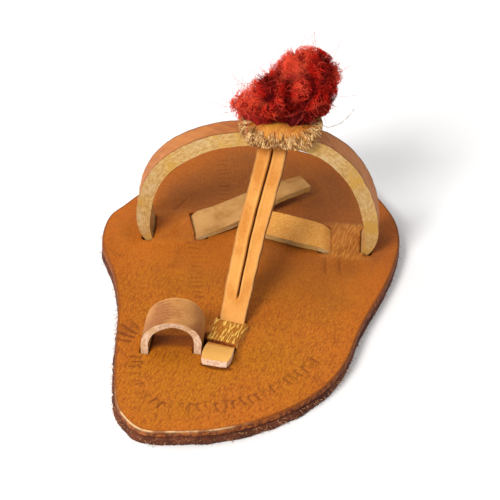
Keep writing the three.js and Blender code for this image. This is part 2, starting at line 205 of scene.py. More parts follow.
# Rows of short marks stamped into the insole: the line that a row follows, its pitch, its mark and
# how deep it is pressed.
STAMP_ROWS = [
    ([(7.7, 23.4), (6.2, 28.0), (3.9, 31.2), (0.2, 32.9), (-4.0, 32.2), (-8.2, 30.4),
      (-11.8, 27.6), (-15.0, 23.8), (-17.6, 19.2), (-19.4, 14.0)], 1.45, "comb", 1.0),
    ([(-20.6, 10.8), (-19.0, 5.7), (-16.2, 0.5), (-13.4, -4.8), (-11.6, -8.0)], 1.55, "bar", 0.35),
    ([(3.2, 5.6), (5.7, -0.3), (8.0, -5.0), (10.0, -8.6)], 1.30, "bar", 0.70),
    ([(8.1, -21.6), (10.1, -27.2), (11.9, -31.8)], 1.25, "bar", 0.85),
    ([(-6.4, -22.6), (-4.6, -27.3), (-2.7, -31.9), (0.1, -35.7)], 1.40, "bar", 0.50),
    ([(7.8, 8.4), (8.4, 4.0), (9.8, -0.6)], 1.60, "loop", 0.55),
]
MARKS = {
    "bar": [[(-0.85, 0.0), (0.85, 0.1)]],
    "comb": [[(-0.95, 0.0), (0.75, 0.0)], [(0.75, 0.0), (0.78, 0.62)]],
    "loop": [[(-0.7, -0.25), (0.0, -0.42), (0.6, 0.0), (0.0, 0.42), (-0.7, 0.25)]],
}
STAMP_DEPTH = 0.17
STAMP_SPREAD = 0.21

# Creases on the insole: the line, how deep (a ridge is negative), how wide.
CREASES = [
    ([(9.9, 19.3), (12.9, 18.9)], 0.22, 0.30), ([(9.9, 18.2), (12.7, 17.0)], 0.20, 0.30),
    ([(9.9, 20.4), (12.6, 20.8)], 0.18, 0.28), ([(9.7, 17.1), (11.7, 15.2)], 0.14, 0.30),
    ([(-21.0, 3.0), (-12.0, 6.2), (-6.4, 7.2)], 0.16, 2.40),
    ([(6.0, 13.5), (13.5, 8.0), (18.5, -1.5)], 0.16, 2.60),
    ([(-22.5, -4.5), (-17.5, -9.0)], -0.20, 1.80), ([(22.0, -6.5), (18.5, -3.0)], -0.18, 1.60),
    ([(-2.5, -24.0), (2.5, -28.5), (8.5, -26.0)], 0.30, 4.20),
    ([(3.8, 36.5), (-4.0, 36.2), (-10.0, 33.2)], -0.10, 0.80),
    ([(-13.2, -12.0), (-14.4, -8.5)], 0.12, 0.35), ([(-15.6, -12.6), (-17.0, -8.6)], 0.12, 0.30),
    ([(15.2, -14.8), (14.4, -18.6)], 0.12, 0.35),
    ([(-6.6, 16.6), (-5.9, 16.0)], 0.20, 0.16), ([(-2.0, 16.0), (-1.2, 16.9)], 0.20, 0.16),
    # a dent before the thong's tab, painted dark through the held dirt as the tab's shadow
    ([(-7.5, 21.0), (-5.1, 21.7), (-2.9, 21.5)], 0.22, 0.42),
]


def on_line(start, skew, along, front):
    """The place on the floor plan of a point measured on a skewed line."""
    turn = math.radians(skew)
    return (start[0] + along * math.cos(turn) - front * math.sin(turn),
            start[1] + along * math.sin(turn) + front * math.cos(turn))


def on_strap(along, front):
    return on_line(STRAP_MIDDLE, STRAP_SKEW, along, front)


def on_loop(along, front):
    return on_line(LOOP_FOOT, LOOP_SKEW, along, front)


# Where the insole swells over a strip: both ends on the plan, the flat and the whole half width,
# how high it swells, and how much it is scraped.
BRIDGES = [
    (on_strap(18.4, 0.0), on_strap(11.2, -0.9), 3.35, 5.8, 0.48, 0.10),
    (on_strap(-18.1, 0.0), on_strap(-12.3, 0.1), 3.35, 6.4, 0.45, 0.50),
    ((-4.1, 10.3), (-4.2, 16.3), 2.35, 3.5, 0.90, 1.00),
]
# The slots: middle, size along the strip, size across it, turn of the strip on the plan.
SLOTS = [
    (on_strap(18.75, 0.0), 1.90, 6.4, STRAP_SKEW),
    (on_strap(10.35, -1.35), 2.20, 6.8, STRAP_SKEW + 14),
    (on_strap(-18.50, 0.0), 1.90, 6.4, STRAP_SKEW),
    (on_strap(-11.40, 0.05), 2.20, 6.9, STRAP_SKEW + 2),
    ((-4.0, 9.80), 1.70, 4.5, 91),
    ((-4.3, 16.75), 1.60, 4.9, 92),
    (on_loop(0.0, 0.0), 1.50, 5.5, LOOP_SKEW - 10),
    (on_loop(8.58, 0.0), 1.50, 5.5, LOOP_SKEW - 10),
]

# ---- camera, floor and light ----

CAMERA_AT = (-106.9, 346.2, 297.0)
CAMERA_AIM = (-3.2, -0.7, 10.0)
CAMERA_ROLL = 3.2
CAMERA_LENS = 200
SKY_STRENGTH = 0.43
FLOOR_HALF = 1500
# Each lamp: where it stands, what it lights, its size, its power and its tint.
LAMPS = [
    ("key lamp", (170, 430, 430), (0, 0, 10), 260, 3.8, (1.0, 0.985, 0.96)),
    ("side lamp", (520, -60, 380), (0, 0, 10), 420, 1.3, (1.0, 1.0, 1.0)),
    ("back lamp", (-260, -480, 420), (0, 0, 15), 400, 0.9, (1.0, 1.0, 1.0)),
]


def aim(thing, at, target, roll=0.0):
    """Stands a camera or a lamp at a place and turns it to a target."""
    way = Vector(target) - Vector(at)
    stand = way.to_track_quat("-Z", "Y").to_matrix().to_4x4()
    stand = stand @ Matrix.Rotation(math.radians(roll), 4, "Z")
    stand.translation = Vector(at) * MM
    thing.matrix_world = stand


def add_object(name, data):
    made = bpy.data.objects.new(name, data)
    bpy.context.scene.collection.objects.link(made)
    return made


def set_camera():
    data = bpy.data.cameras.new("camera")
    data.lens = CAMERA_LENS
    data.sensor_width = 36
    data.clip_start = 0.01
    data.clip_end = 10
    camera = add_object("camera", data)
    aim(camera, CAMERA_AT, CAMERA_AIM, CAMERA_ROLL)
    bpy.context.scene.camera = camera


def add_lamp(name, at, target, size, watts, tint):
    data = bpy.data.lights.new(name, "AREA")
    data.shape = "DISK"
    data.size = size * MM
    data.energy = watts
    data.color = tint
    aim(add_object(name, data), at, target)


def set_lights():
    for name, at, target, size, watts, tint in LAMPS:
        add_lamp(name, at, target, size, watts, tint)
    world = bpy.data.worlds.new("studio")
    world.use_nodes = True
    sky = world.node_tree.nodes["Background"]
    sky.inputs["Color"].default_value = (1.0, 1.0, 1.0, 1.0)
    sky.inputs["Strength"].default_value = SKY_STRENGTH
    bpy.context.scene.world = world
    view = bpy.context.scene.view_settings
    view.view_transform = "Standard"
    view.look = "None"
    view.exposure = 0.0


# ---- paths and contours ----


def smooth_path(points, per_span, closed=False):
    """A centripetal curve through the points, as a dense row of points."""
    points = np.array(points, float)
    if closed:
        ring = np.concatenate([points[-1:], points, points[:2]])
    else:
        before = 2 * points[:1] - points[1:2]
        after = 2 * points[-1:] - points[-2:-1]
        ring = np.concatenate([before, points, after])
    share = np.linspace(0, 1, per_span, endpoint=False)[:, None]
    runs = []
    for a, b, c, d in zip(ring, ring[1:], ring[2:], ring[3:]):
        one, two, three = (math.sqrt(np.linalg.norm(q - p)) for p, q in ((a, b), (b, c), (c, d)))
        leave = two * ((b - a) / one - (c - a) / (one + two) + (c - b) / two)
        arrive = two * ((c - b) / two - (d - b) / (two + three) + (d - c) / three)
        runs.append(b + leave * share + (3 * (c - b) - 2 * leave - arrive) * share ** 2
                    + (2 * (b - c) + leave + arrive) * share ** 3)
    if not closed:
        runs.append(points[-1:])
    return np.concatenate(runs)


def run_along(path):
    """How far along the path each of its points lies."""
    return np.concatenate([[0], np.cumsum(np.linalg.norm(np.diff(path, axis=0), axis=1))])


def evenly(path, step, closed=False):
    """The same path with points at an even distance."""
    path = np.array(path, float)
    if closed:
        path = np.concatenate([path, path[:1]])
    run = run_along(path)
    count = max(2, round(run[-1] / step)) + 1
    at = np.linspace(0, run[-1], count)
    even = np.stack([np.interp(at, run, column) for column in path.T], axis=1)
    return even[:-1] if closed else even


def unit(rows):
    return rows / np.maximum(np.linalg.norm(rows, axis=-1, keepdims=True), 1e-9)


def smooth(share):
    """A soft step from 0 to 1."""
    share = np.clip(share, 0, 1)
    return share * share * (3 - 2 * share)


def headings(ring):
    """Which way a closed path runs at each of its points."""
    return unit(np.roll(ring, -1, axis=0) - np.roll(ring, 1, axis=0))


def to_left(way):
    """The directions to the left of others on the plan."""
    return np.stack([-way[:, 1], way[:, 0]], axis=1)


def plan_turn(angle):
    """The turn by an angle on the plan that rows of points are multiplied with."""
    return np.array([[math.cos(angle), math.sin(angle)], [-math.sin(angle), math.cos(angle)]])


class Cut:
    """The cut sides of a flat piece of leather. Contours run with the leather on their left."""

    def __init__(self, contours, step=0.06):
        self.places = []
        self.inward = []
        for contour in contours:
            even = evenly(contour, step, closed=True)
            self.places.extend(even)
            self.inward.extend(to_left(headings(even)))
        self.tree = kdtree.KDTree(len(self.places))
        for index, (x, y) in enumerate(self.places):
            self.tree.insert((x, y, 0), index)
        self.tree.balance()

    def nearest(self, x, y):
        """The nearest place on a cut side, the way in from it, and the depth inside it."""
        spot, index, _ = self.tree.find((x, y, 0))
        inward = self.inward[index]
        return spot, inward, (x - spot.x) * inward[0] + (y - spot.y) * inward[1]

    def depth(self, x, y):
        """How far inside the leather a point lies."""
        return self.nearest(x, y)[2]

    def snap(self, vert, depth):
        """Moves a point to that depth inside its cut side."""
        spot, inward, _ = self.nearest(vert.co.x, vert.co.y)
        vert.co.x = spot.x + inward[0] * depth
        vert.co.y = spot.y + inward[1] * depth


def heel_hole():
    """The hole's contour, run clockwise so that the leather is on its left."""
    turns = -np.linspace(0, 2 * math.pi, 48, endpoint=False)
    ring = np.stack([np.cos(turns), np.sin(turns)], axis=1)
    return np.array(HEEL_HOLE["middle"]) + HEEL_HOLE["radius"] * ring


def slot_contour(middle, along, across, turn, corner=0.35):
    """A slot with rounded corners, run clockwise so that the leather is on its left."""
    angle = math.radians(turn)
    ahead = np.array([math.cos(angle), math.sin(angle)])
    aside = np.array([-ahead[1], ahead[0]])
    points = []
    for sign_a, sign_b, start in ((1, 1, 90), (1, -1, 0), (-1, -1, -90), (-1, 1, -180)):
        for step in range(5):
            bend = math.radians(start - step * 22.5)
            a = sign_a * (along / 2 - corner) + corner * math.cos(bend)
            b = sign_b * (across / 2 - corner) + corner * math.sin(bend)
            points.append(np.array(middle) + ahead * a + aside * b)
    return np.array(points)


def sole_contour():
    stations = [(across * WIDTH, along * LENGTH) for along, across in OUTLINE]
    return smooth_path(stations, 16, closed=True)


def grid_sheet(low, high, cell_along, cell_across):
    """A flat sheet of small cells between two corners."""
    bm = bmesh.new()
    size = np.array(high) - np.array(low)
    middle = (np.array(high) + np.array(low)) / 2
    bmesh.ops.create_grid(
        bm, x_segments=round(size[0] / cell_along), y_segments=round(size[1] / cell_across), size=0.5,
        matrix=Matrix.Translation((*middle, 0)) @ Matrix.Diagonal((*size, 1, 1)))
    return bm


def cut_sheet(cut, low, high, cell, rings):
    """Cuts a sheet to the contours. rings are the depths of its outer rings of points."""
    bm = grid_sheet(low, high, cell, cell)
    waste = []
    for face in bm.faces:
        spot = face.calc_center_median()
        if cut.depth(spot.x, spot.y) < rings[0]:
            waste.append(face)
    bmesh.ops.delete(bm, geom=waste, context="FACES")
    for vert in bm.verts:
        if vert.is_boundary:
            cut.snap(vert, rings[0])
    for depth in rings[1:]:
        sides = [edge for edge in bm.edges if edge.is_boundary]
        made = bmesh.ops.extrude_edge_only(bm, edges=sides)["geom"]
        for vert in made:
            if isinstance(vert, bmesh.types.BMVert):
                cut.snap(vert, depth)
    bmesh.ops.recalc_face_normals(bm, faces=bm.faces[:])
    if sum(face.normal.z for face in bm.faces) < 0:
        bmesh.ops.reverse_faces(bm, faces=bm.faces[:])
    return bm


def thicken(bm):
    """Gives a flat sheet a second face and side walls between them. Returns the new face's points."""
    made = bmesh.ops.extrude_face_region(bm, geom=bm.faces[:])["geom"]
    return {part for part in made if isinstance(part, bmesh.types.BMVert)}


def subdivide_walls(bm, height, cuts):
    """Cuts up the edges of the side walls, which rise by more than that height."""
    walls = [edge for edge in bm.edges if abs(edge.verts[0].co.z - edge.verts[1].co.z) > height]
    bmesh.ops.subdivide_edges(bm, edges=walls, cuts=cuts)


def set_heights(bm, heights):
    for vert, z in zip(bm.verts, heights):
        vert.co.z = z


def move_points(bm, places):
    for vert, place in zip(bm.verts, places):
        vert.co = place


def numbers(points):
    return np.array([vert.co for vert in points], float)


def rough(points, size, seed):
    """Soft noise from -1 to 1 at each point, its lumps about that size."""
    shift = Vector((seed * 7.3, seed * 3.1, seed * 5.7))
    return np.array([noise.noise(Vector(point) / size + shift) for point in points])


def to_line(points, line):
    """The distance of each point in the plan from a line of straight runs."""
    best = np.full(len(points), 1e9)
    for a, b in zip(line, line[1:]):
        a = np.array(a, float)
        run = np.array(b, float) - a
        share = np.clip(((points[:, :2] - a) @ run) / (run @ run), 0, 1)
        best = np.minimum(best, np.linalg.norm(points[:, :2] - a - share[:, None] * run, axis=1))
    return best


def finish_piece(name, bm, materials, marks=None, smooth_angle=STRIP_ANGLE):
    """Makes an object of a mesh in millimetres. marks are values to keep on its points."""
    mesh = bpy.data.meshes.new(name)
    bmesh.ops.scale(bm, vec=(MM, MM, MM), verts=bm.verts[:])
    bm.to_mesh(mesh)
    bm.free()
    for material in materials:
        mesh.materials.append(material)
    for key, values in (marks or {}).items():
        values = np.asarray(values, np.float32)
        kind, field = ("FLOAT_VECTOR", "vector") if values.ndim == 2 else ("FLOAT", "value")
        mesh.attributes.new(key, kind, "POINT").data.foreach_set(field, values.ravel())
    mesh.shade_smooth()
    mesh.set_sharp_from_angle(angle=math.radians(smooth_angle))
    return add_object(name, mesh)


# ---- materials ----


class Finish:
    """A material in the making. It keeps the colour and the bumps that it has so far."""

    def __init__(self, name):
        self.material = bpy.data.materials.new(name)
        self.material.use_nodes = True
        self.nodes = self.material.node_tree.nodes
        self.links = self.material.node_tree.links
        self.nodes.clear()
        self.color = None
        self.normal = None

    def node(self, kind, output, sockets, **settings):
        """Adds a node and gives one of its outputs."""
        made = self.nodes.new("ShaderNode" + kind)
        for key, value in settings.items():
            setattr(made, key, value)
        for key, value in sockets.items():
            self.feed(made.inputs[key], value)
        return made.outputs[output]

    def feed(self, socket, value):
        if isinstance(value, bpy.types.NodeSocket):
            self.links.new(value, socket)
        elif isinstance(value, tuple) and socket.type == "RGBA":
            socket.default_value = (*value[:3], 1.0)
        else:
            socket.default_value = value

    def mapped(self, spot, scale, turn):
        turned = (0.0, 0.0, math.radians(turn))
        return self.node("Mapping", 0, {"Vector": spot, "Scale": scale, "Rotation": turned})

    def place(self, stretch=(1.0, 1.0, 1.0), turn=0.0):
        """The point on the object in millimetres, with a pattern stretched and turned."""
        spot = self.node("TexCoord", "Object", {})
        return self.mapped(spot, tuple(part / MM for part in stretch), turn)

    def lay(self, stretch=(1.0, 1.0, 1.0), turn=0.0):
        """The point on the flat strip that the piece was bent from."""
        spot = self.node("Attribute", "Vector", {}, attribute_name="lay")
        return self.mapped(spot, stretch, turn)

    def mark(self, name):
        """A value that was kept on the points of the piece."""
        return self.node("Attribute", "Fac", {}, attribute_name=name)

    def part(self, vector, axis):
        return self.node("SeparateXYZ", axis, {"Vector": vector})

    def grain(self, vector, size, detail=3.0, roughness=0.55, twist=0.0):
        return self.node("TexNoise", 0, {"Vector": vector, "Scale": 1.0 / size, "Detail": detail,
                                         "Roughness": roughness, "Distortion": twist})

    def pebbles(self, vector, size):
        return self.node("TexVoronoi", "Distance", {"Vector": vector, "Scale": 1.0 / size}, feature="F1")

    def levels(self, value, low, high, start=0.0, end=1.0):
        """Goes softly from start to end while the value goes from low to high."""
        return self.node("MapRange", "Result", {"Value": value, "From Min": low, "From Max": high,
                                                "To Min": start, "To Max": end},
                         interpolation_type="SMOOTHSTEP")

    def calc(self, operation, a, b=0.0):
        return self.node("Math", 0, {0: a, 1: b}, operation=operation)

    def mix(self, share, a, b):
        return self.node("Mix", 2, {0: share, 6: a, 7: b}, data_type="RGBA")

    def mottle(self, value, low, high, one, other):
        """Starts the colour as patches of two."""
        self.color = self.mix(self.levels(value, low, high), one, other)

    def tint(self, share, color):
        """Lays another colour over the one so far."""
        self.color = self.mix(share, self.color, color)

    def stain(self, value, low, high, most, color, within=None):
        """Tints where the value goes from low to high, at the most by that share."""
        share = self.levels(value, low, high, 0.0, most)
        if within is not None:
            share = self.calc("MULTIPLY", share, within)
        self.tint(share, color)

    def bump(self, height, depth):
        """Raises the surface by the height; depth is in millimetres."""
        sockets = {"Height": height, "Strength": 1.0, "Distance": depth * MM}
        if self.normal is not None:
            sockets["Normal"] = self.normal
        self.normal = self.node("Bump", "Normal", sockets)

    def done(self, roughness, specular):
        shade = self.node("BsdfPrincipled", "BSDF", {
            "Base Color": self.color, "Roughness": roughness, "Normal": self.normal,
            "Specular IOR Level": specular})
        out = self.nodes.new("ShaderNodeOutputMaterial")
        self.links.new(shade, out.inputs["Surface"])
        return self.material


def insole_finish():
    """Golden vegetable-tanned leather, darker to the heel with painted shade there under the strap's arch,
    with a granular face and worn places.
    """
    f = Finish("golden sole leather")
    flat = f.place()
    along = f.part(flat, "Y")
    toward_toe = f.levels(along, -24.0, 20.0)
    rim = f.mark("rim")
    f.color = f.mix(toward_toe, (0.315, 0.087, 0.014), (0.425, 0.128, 0.0030))
    f.stain(f.grain(flat, 11.0, 3.0), 0.38, 0.66, 1.0, (0.455, 0.117, 0.008))
    f.stain(f.grain(flat, 4.2, 4.0), 0.54, 0.80, 0.45, (0.50, 0.160, 0.008))
    # painted shade toward the heel, where the strap's arch shades the insole
    f.stain(along, -8.0, -26.0, 0.62, (0.215, 0.062, 0.016))
    f.stain(rim, 5.0, 0.4, 0.50, (0.47, 0.105, 0.008))
    # a granular face: pale and dark grains and a dark hatching, drawn out along the sole
    grains = f.grain(f.place((2.9, 1.35, 1.0), 4.0), 0.95, 3.0, 0.70)
    hatch = f.grain(f.place((2.6, 0.50, 1.0), -3.0), 0.62, 2.0, 0.5)
    front_half = f.levels(toward_toe, 0.30, 0.95, 0.35, 1.0)
    f.stain(grains, 0.51, 0.68, 0.50, (0.60, 0.245, 0.012), front_half)
    f.stain(grains, 0.48, 0.36, 0.66, (0.270, 0.060, 0.003), front_half)
    f.stain(hatch, 0.48, 0.36, 0.70, (0.250, 0.058, 0.004), front_half)
    fine = f.grain(flat, 0.30, 3.0, 0.65)
    pores = f.pebbles(f.place((1.0, 0.8, 1.0)), 0.62)
    f.stain(fine, 0.44, 0.68, 0.25, (0.56, 0.200, 0.016))
    f.stain(pores, 0.18, 0.05, 0.45, (0.21, 0.045, 0.006))
    # dark specks, stains, the dirt held in marks, and painted shade under the toe loop and the thong's tab
    f.stain(f.grain(flat, 0.9, 5.0, 0.7), 0.67, 0.75, 0.8, (0.09, 0.022, 0.006))
    f.stain(f.grain(flat, 6.5, 6.0, 0.6, 0.6), 0.60, 0.76, 0.40, (0.24, 0.060, 0.010))
    f.stain(f.mark("pressed"), 0.12, 0.90, 0.74, (0.15, 0.034, 0.005))
    # the places over the straps are scraped into pale strokes
    strokes = f.grain(f.place((4.4, 0.62, 1.0), 6.0), 1.1, 2.0, 0.5)
    worn = f.mark("worn")
    bare = f.calc("POWER", worn, 2.0)
    f.tint(f.calc("MULTIPLY", bare, 0.80), (0.37, 0.130, 0.013))
    f.stain(strokes, 0.52, 0.60, 1.0, (0.76, 0.440, 0.085), bare)
    streaks = f.levels(f.grain(f.place((2.6, 0.32, 1.0), 4.0), 1.1, 3.0, 0.6), 0.42, 0.72, 0.2, 2.2)
    rubbed = f.calc("SUBTRACT", worn, bare)
    f.tint(f.calc("MULTIPLY", rubbed, streaks), (0.62, 0.250, 0.050))
    # a dark edge, with a bright line painted on its corner at the toe: rubbed leather with a painted
    # highlight where the light catches the corner
    f.tint(f.calc("MULTIPLY", f.levels(rim, 0.60, 0.16), 0.72), (0.150, 0.036, 0.006))
    broken = f.levels(f.grain(flat, 2.4, 3.0), 0.42, 0.58, 0.2, 0.9)
    line = f.calc("MULTIPLY", f.levels(rim, 0.34, 0.10), broken)
    f.stain(along, 31.0, 37.0, 1.0, (0.86, 0.56, 0.28), line)
    patches = f.levels(f.grain(flat, 0.7, 4.0), 0.38, 0.66)
    f.tint(f.mark("side"), f.mix(patches, (0.100, 0.020, 0.005), (0.34, 0.090, 0.014)))
    f.bump(fine, 0.060)
    f.bump(grains, 0.090)
    f.bump(f.calc("MULTIPLY", strokes, worn), 0.30)
    f.bump(f.levels(pores, 0.22, 0.04), -0.045)
    return f.done(f.levels(fine, 0.3, 0.7, 0.54, 0.70), 0.16)


def outsole_finish():
    """Brown, rough-cut leather with pale fibres along its ragged side."""
    f = Finish("rough brown sole leather")
    flat = f.place()
    fibre = f.grain(f.place((1.0, 1.0, 5.0)), 0.45, 5.0, 0.7)
    f.mottle(f.grain(flat, 3.0, 4.0), 0.35, 0.68, (0.080, 0.020, 0.008), (0.165, 0.043, 0.017))
    f.stain(fibre, 0.58, 0.74, 0.85, (0.62, 0.34, 0.18))
    f.stain(fibre, 0.44, 0.30, 0.9, (0.045, 0.013, 0.009))
    f.bump(fibre, 0.16)
    f.bump(f.grain(flat, 0.22, 4.0, 0.65), 0.07)
    return f.done(0.88, 0.25)


def grain_finish(name, base, pale, deep, line_size, tab_start=None, edge_at=None):
    """The grain side of a strap: tan, rubbed pale on its ridges, with fine drawn lines."""
    f = Finish(name)
    lay = f.lay()
    drawn = f.grain(f.lay((0.70, 1.9, 1.0)), line_size, 4.0, 0.70)
    f.mottle(f.grain(lay, 5.0, 3.0), 0.36, 0.66, base, deep)
    f.stain(drawn, 0.50, 0.72, 0.34, pale)
    f.stain(drawn, 0.44, 0.26, 0.34, deep)
    f.tint(f.calc("MULTIPLY", f.mark("raised"), 0.32), pale)
    if edge_at:
        # both long edges are dark, that far from the middle
        aside = f.calc("ABSOLUTE", f.part(lay, "Y"))
        f.stain(aside, edge_at - 0.65, edge_at, 0.75, (0.130, 0.036, 0.008))
    f.stain(f.pebbles(lay, 0.70), 0.15, 0.04, 0.45, (0.22, 0.055, 0.008))
    f.stain(f.grain(lay, 0.8, 5.0, 0.7), 0.67, 0.75, 0.6, (0.20, 0.055, 0.010))
    if tab_start:
        # the free tab past the front slot is rubbed pale
        f.stain(f.part(lay, "X"), tab_start, tab_start + 1.0, 0.75, (0.74, 0.400, 0.100))
    # the thong's slit is painted dark, as the shade inside it
    f.stain(f.mark("painted_slit_shade"), 0.1, 0.8, 1.0, (0.085, 0.022, 0.006))
    f.bump(drawn, 0.050)
    f.bump(f.grain(lay, 0.30, 4.0, 0.6), 0.060)
    return f.done(f.levels(drawn, 0.3, 0.7, 0.52, 0.68), 0.22)


def flesh_finish():
    """The flesh side of a strap: pale suede with loose fibres and tan stains."""
    f = Finish("pale flesh side")
    lay = f.lay()
    fibres = f.grain(f.lay((1.2, 2.2, 1.0), 12.0), 0.34, 5.0, 0.7, 0.4)
    f.mottle(f.grain(lay, 4.0, 4.0), 0.36, 0.64, (0.40, 0.180, 0.045), (0.54, 0.285, 0.092))
    f.stain(fibres, 0.50, 0.72, 0.55, (0.66, 0.43, 0.18))
    f.stain(fibres, 0.42, 0.26, 0.55, (0.27, 0.10, 0.022))
    # the lateral tail, at the far end of the strip, is rubbed golden brown
    golden = f.mix(f.levels(fibres, 0.4, 0.6), (0.70, 0.270, 0.035), (0.86, 0.450, 0.110))
    f.stain(f.part(lay, "X"), TAIL_START - 2.0, TAIL_START + 2.0, 0.85, golden)
    f.bump(fibres, 0.11)
    f.bump(f.grain(lay, 0.20, 4.0, 0.65), 0.06)
    return f.done(0.86, 0.15)


def cut_edge_finish(name, dark, pale, dyed, tab_start=None):
    """The cut side of a strap: mottled, with dye that soaked in."""
    f = Finish(name)
    lay = f.lay()
    streak = f.grain(f.lay((0.8, 1.0, 1.7)), 0.62, 5.0, 0.65)
    dye = f.grain(lay, 4.5, 4.0, 0.6)
    nick = f.grain(f.lay((1.6, 1.0, 1.0)), 0.5, 4.0, 0.7)
    f.mottle(streak, 0.34, 0.66, dark, pale)
    f.stain(dye, 0.50, 0.66, 0.75, dyed)
    f.stain(dye, 0.46, 0.34, 0.55, (0.60, 0.44, 0.24))
    f.stain(nick, 0.62, 0.74, 0.60, (0.28, 0.11, 0.025))
    if tab_start:
        bare = f.mix(f.levels(streak, 0.36, 0.60), (0.70, 0.42, 0.26), (0.90, 0.68, 0.50))
        f.stain(f.part(lay, "X"), tab_start, tab_start + 1.0, 1.0, bare)
    f.bump(streak, 0.10)
    f.bump(f.grain(lay, 0.22, 4.0, 0.65), 0.06)
    return f.done(0.82, 0.15)


def cream_edge_finish():
    """The pale cut side of the instep strap."""
    return cut_edge_finish("cream cut side", (0.43, 0.232, 0.068), (0.61, 0.400, 0.160),
                           (0.53, 0.285, 0.045))


def pink_edge_finish():
    """The undyed, pinkish white cut side of the toe loop."""
    return cut_edge_finish("pinkish cut side", (0.60, 0.36, 0.21), (0.88, 0.66, 0.48), (0.66, 0.40, 0.18))


def brown_edge_finish():
    """The cut side of the thong strap, brown, bare at its tab."""
    return cut_edge_finish("brown cut side", (0.22, 0.075, 0.018), (0.40, 0.170, 0.045),
                           (0.30, 0.110, 0.020), TAB_START)


def rosette_finish():
    """Orange-tan leather with a frayed edge of cream fibre tips."""
    f = Finish("orange rosette leather")
    flat = f.place()
    ridge = f.grain(f.place((2.4, 0.45, 0.6), 15.0), 0.62, 4.0, 0.65)
    tips = f.grain(flat, 0.36, 4.0, 0.7)
    f.mottle(f.grain(flat, 3.2, 4.0), 0.36, 0.66, (0.66, 0.270, 0.026), (0.48, 0.140, 0.014))
    f.stain(ridge, 0.52, 0.70, 0.7, (0.84, 0.46, 0.11))
    f.stain(ridge, 0.42, 0.28, 0.6, (0.28, 0.075, 0.015))
    frayed = f.mix(f.levels(tips, 0.44, 0.60), (0.17, 0.055, 0.018), (0.86, 0.62, 0.32))
    f.stain(f.mark("rim"), 1.0, 0.10, 0.8, frayed)
    f.bump(ridge, 0.09)
    f.bump(tips, 0.06)
    return f.done(0.62, 0.35)


def wool_finish(name, deep, middle, bright):
    """Dyed wool, with painted shade down in the tufts and painted light at their tips and on its lit
    lobes.
    """
    f = Finish(name)
    flat = f.place()
    tip = f.mark("tip")
    patch = f.grain(flat, 1.6, 3.0, 0.6)
    painted_lit = f.mark("painted_light")
    # painted shade deep in the tufts and in the folds, painted light at the tips
    f.mottle(tip, 0.62, 0.95, deep, middle)
    f.stain(tip, 0.90, 1.12, 0.7, bright)
    f.stain(patch, 0.54, 0.74, 0.55, bright)
    f.stain(patch, 0.47, 0.30, 0.70, deep)
    # painted light on the lit lobes and painted shade on the shaded ones
    f.stain(painted_lit, 0.45, 0.0, 0.80, deep)
    f.stain(painted_lit, 0.50, 1.0, 0.75, bright)
    f.bump(f.grain(flat, 0.10, 3.0, 0.6), 0.02)
    return f.done(0.78, 0.06)


def plain_fibre_finish(name, one, other):
    """Thin fibres of two mottled colours."""
    f = Finish(name)
    shade = f.grain(f.place(), 0.8, 3.0)
    f.mottle(shade, 0.35, 0.65, one, other)
    f.bump(shade, 0.02)
    return f.done(0.85, 0.2)


def floor_finish():
    f = Finish("white studio floor")
    paper = f.grain(f.place((0.02, 0.02, 0.02)), 1.0, 2.0)
    f.mottle(paper, 0.3, 0.7, (0.93, 0.93, 0.93), (0.95, 0.95, 0.95))
    f.bump(paper, 0.01)
    return f.done(0.9, 0.1)


# ---- the sole ----


def swell(points):
    """How far the insole stands up over the strips that run under it, and how scraped it is there."""
    rise = np.zeros(len(points))
    worn = np.zeros(len(points))
    for start, end, flat, half, height, scraped in BRIDGES:
        away = points[:, :2] - np.array(start)
        run = np.array(end) - np.array(start)
        length = np.linalg.norm(run)
        ahead = run / length
        along = away @ ahead
        aside = np.abs(away @ np.array([-ahead[1], ahead[0]]))
        share = smooth((half - aside) / (half - flat))
        over = np.maximum(np.maximum(-along, along - length), 0)
        past = smooth(1 - over / 2.8) * smooth((aside - flat + 0.1) / 1.2)
        share = share * np.where(over > 0, past, 1.0)
        rise = np.maximum(rise, height * share)
        worn = np.maximum(worn, scraped * smooth(share * 1.6 - 0.3))
    return rise, worn


def stamp_marks(points):
    """How deep each point lies in a stamped mark, from 0 to 1."""
    dice = random.Random(5)
    pressed = np.zeros(len(points))
    for path, pitch, kind, strength in STAMP_ROWS:
        row = evenly(smooth_path(path, 12), pitch)
        ahead = unit(np.gradient(row, axis=0))
        for spot, way in zip(row, ahead):
            turn = math.atan2(way[1], way[0]) + dice.uniform(-0.28, 0.28)
            lean = plan_turn(turn)
            push = strength * dice.uniform(0.55, 1.0)
            shift = np.array([dice.uniform(-0.20, 0.20), dice.uniform(-0.35, 0.35)])
            for run in MARKS[kind]:
                line = [spot + shift + np.array([b, a]) @ lean for a, b in run]
                near = to_line(points, line)
                pressed = np.maximum(pressed, push * np.exp(-(near / STAMP_SPREAD) ** 2))
    return pressed


def creases(points, widest=9.0):
    """How deep the creases press each point down, without those that are wider than widest."""
    depth = np.zeros(len(points))
    for line, deep, wide in CREASES:
        if wide < widest:
            path = smooth_path(line, 8)
            depth += deep * np.exp(-(to_line(points, path) / wide) ** 2)
    return depth


def dirt_and_painted_shade(points, pressed):
    """Dirt and dye gathered in the stamped marks and the narrow creases, with painted shade in the hollow
    under the toe loop and a painted shadow in the crease before the thong's tab.
    """
    narrow = np.clip(creases(points, 0.5) * 5.0, 0, 1)
    # painted shade where the toe loop shades the insole under its arch
    local = (points[:, :2] - np.array(LOOP_FOOT)) @ plan_turn(-math.radians(LOOP_SKEW))
    along, front = local.T
    loop_shade = smooth((along - 0.2) / 1.2) * smooth((LOOP_SPAN - along) / 1.2)
    loop_shade *= smooth((LOOP_WIDTH / 2 - 0.3 - front) / 2.2)
    loop_shade *= smooth((front + LOOP_WIDTH / 2) / 1.5)
    beside = np.exp(-((points[:, 0] - 11.6) / 2.0) ** 2 - ((points[:, 1] - 18.2) / 3.0) ** 2)
    return np.maximum.reduce([pressed, narrow, 0.9 * loop_shade, 0.55 * beside])


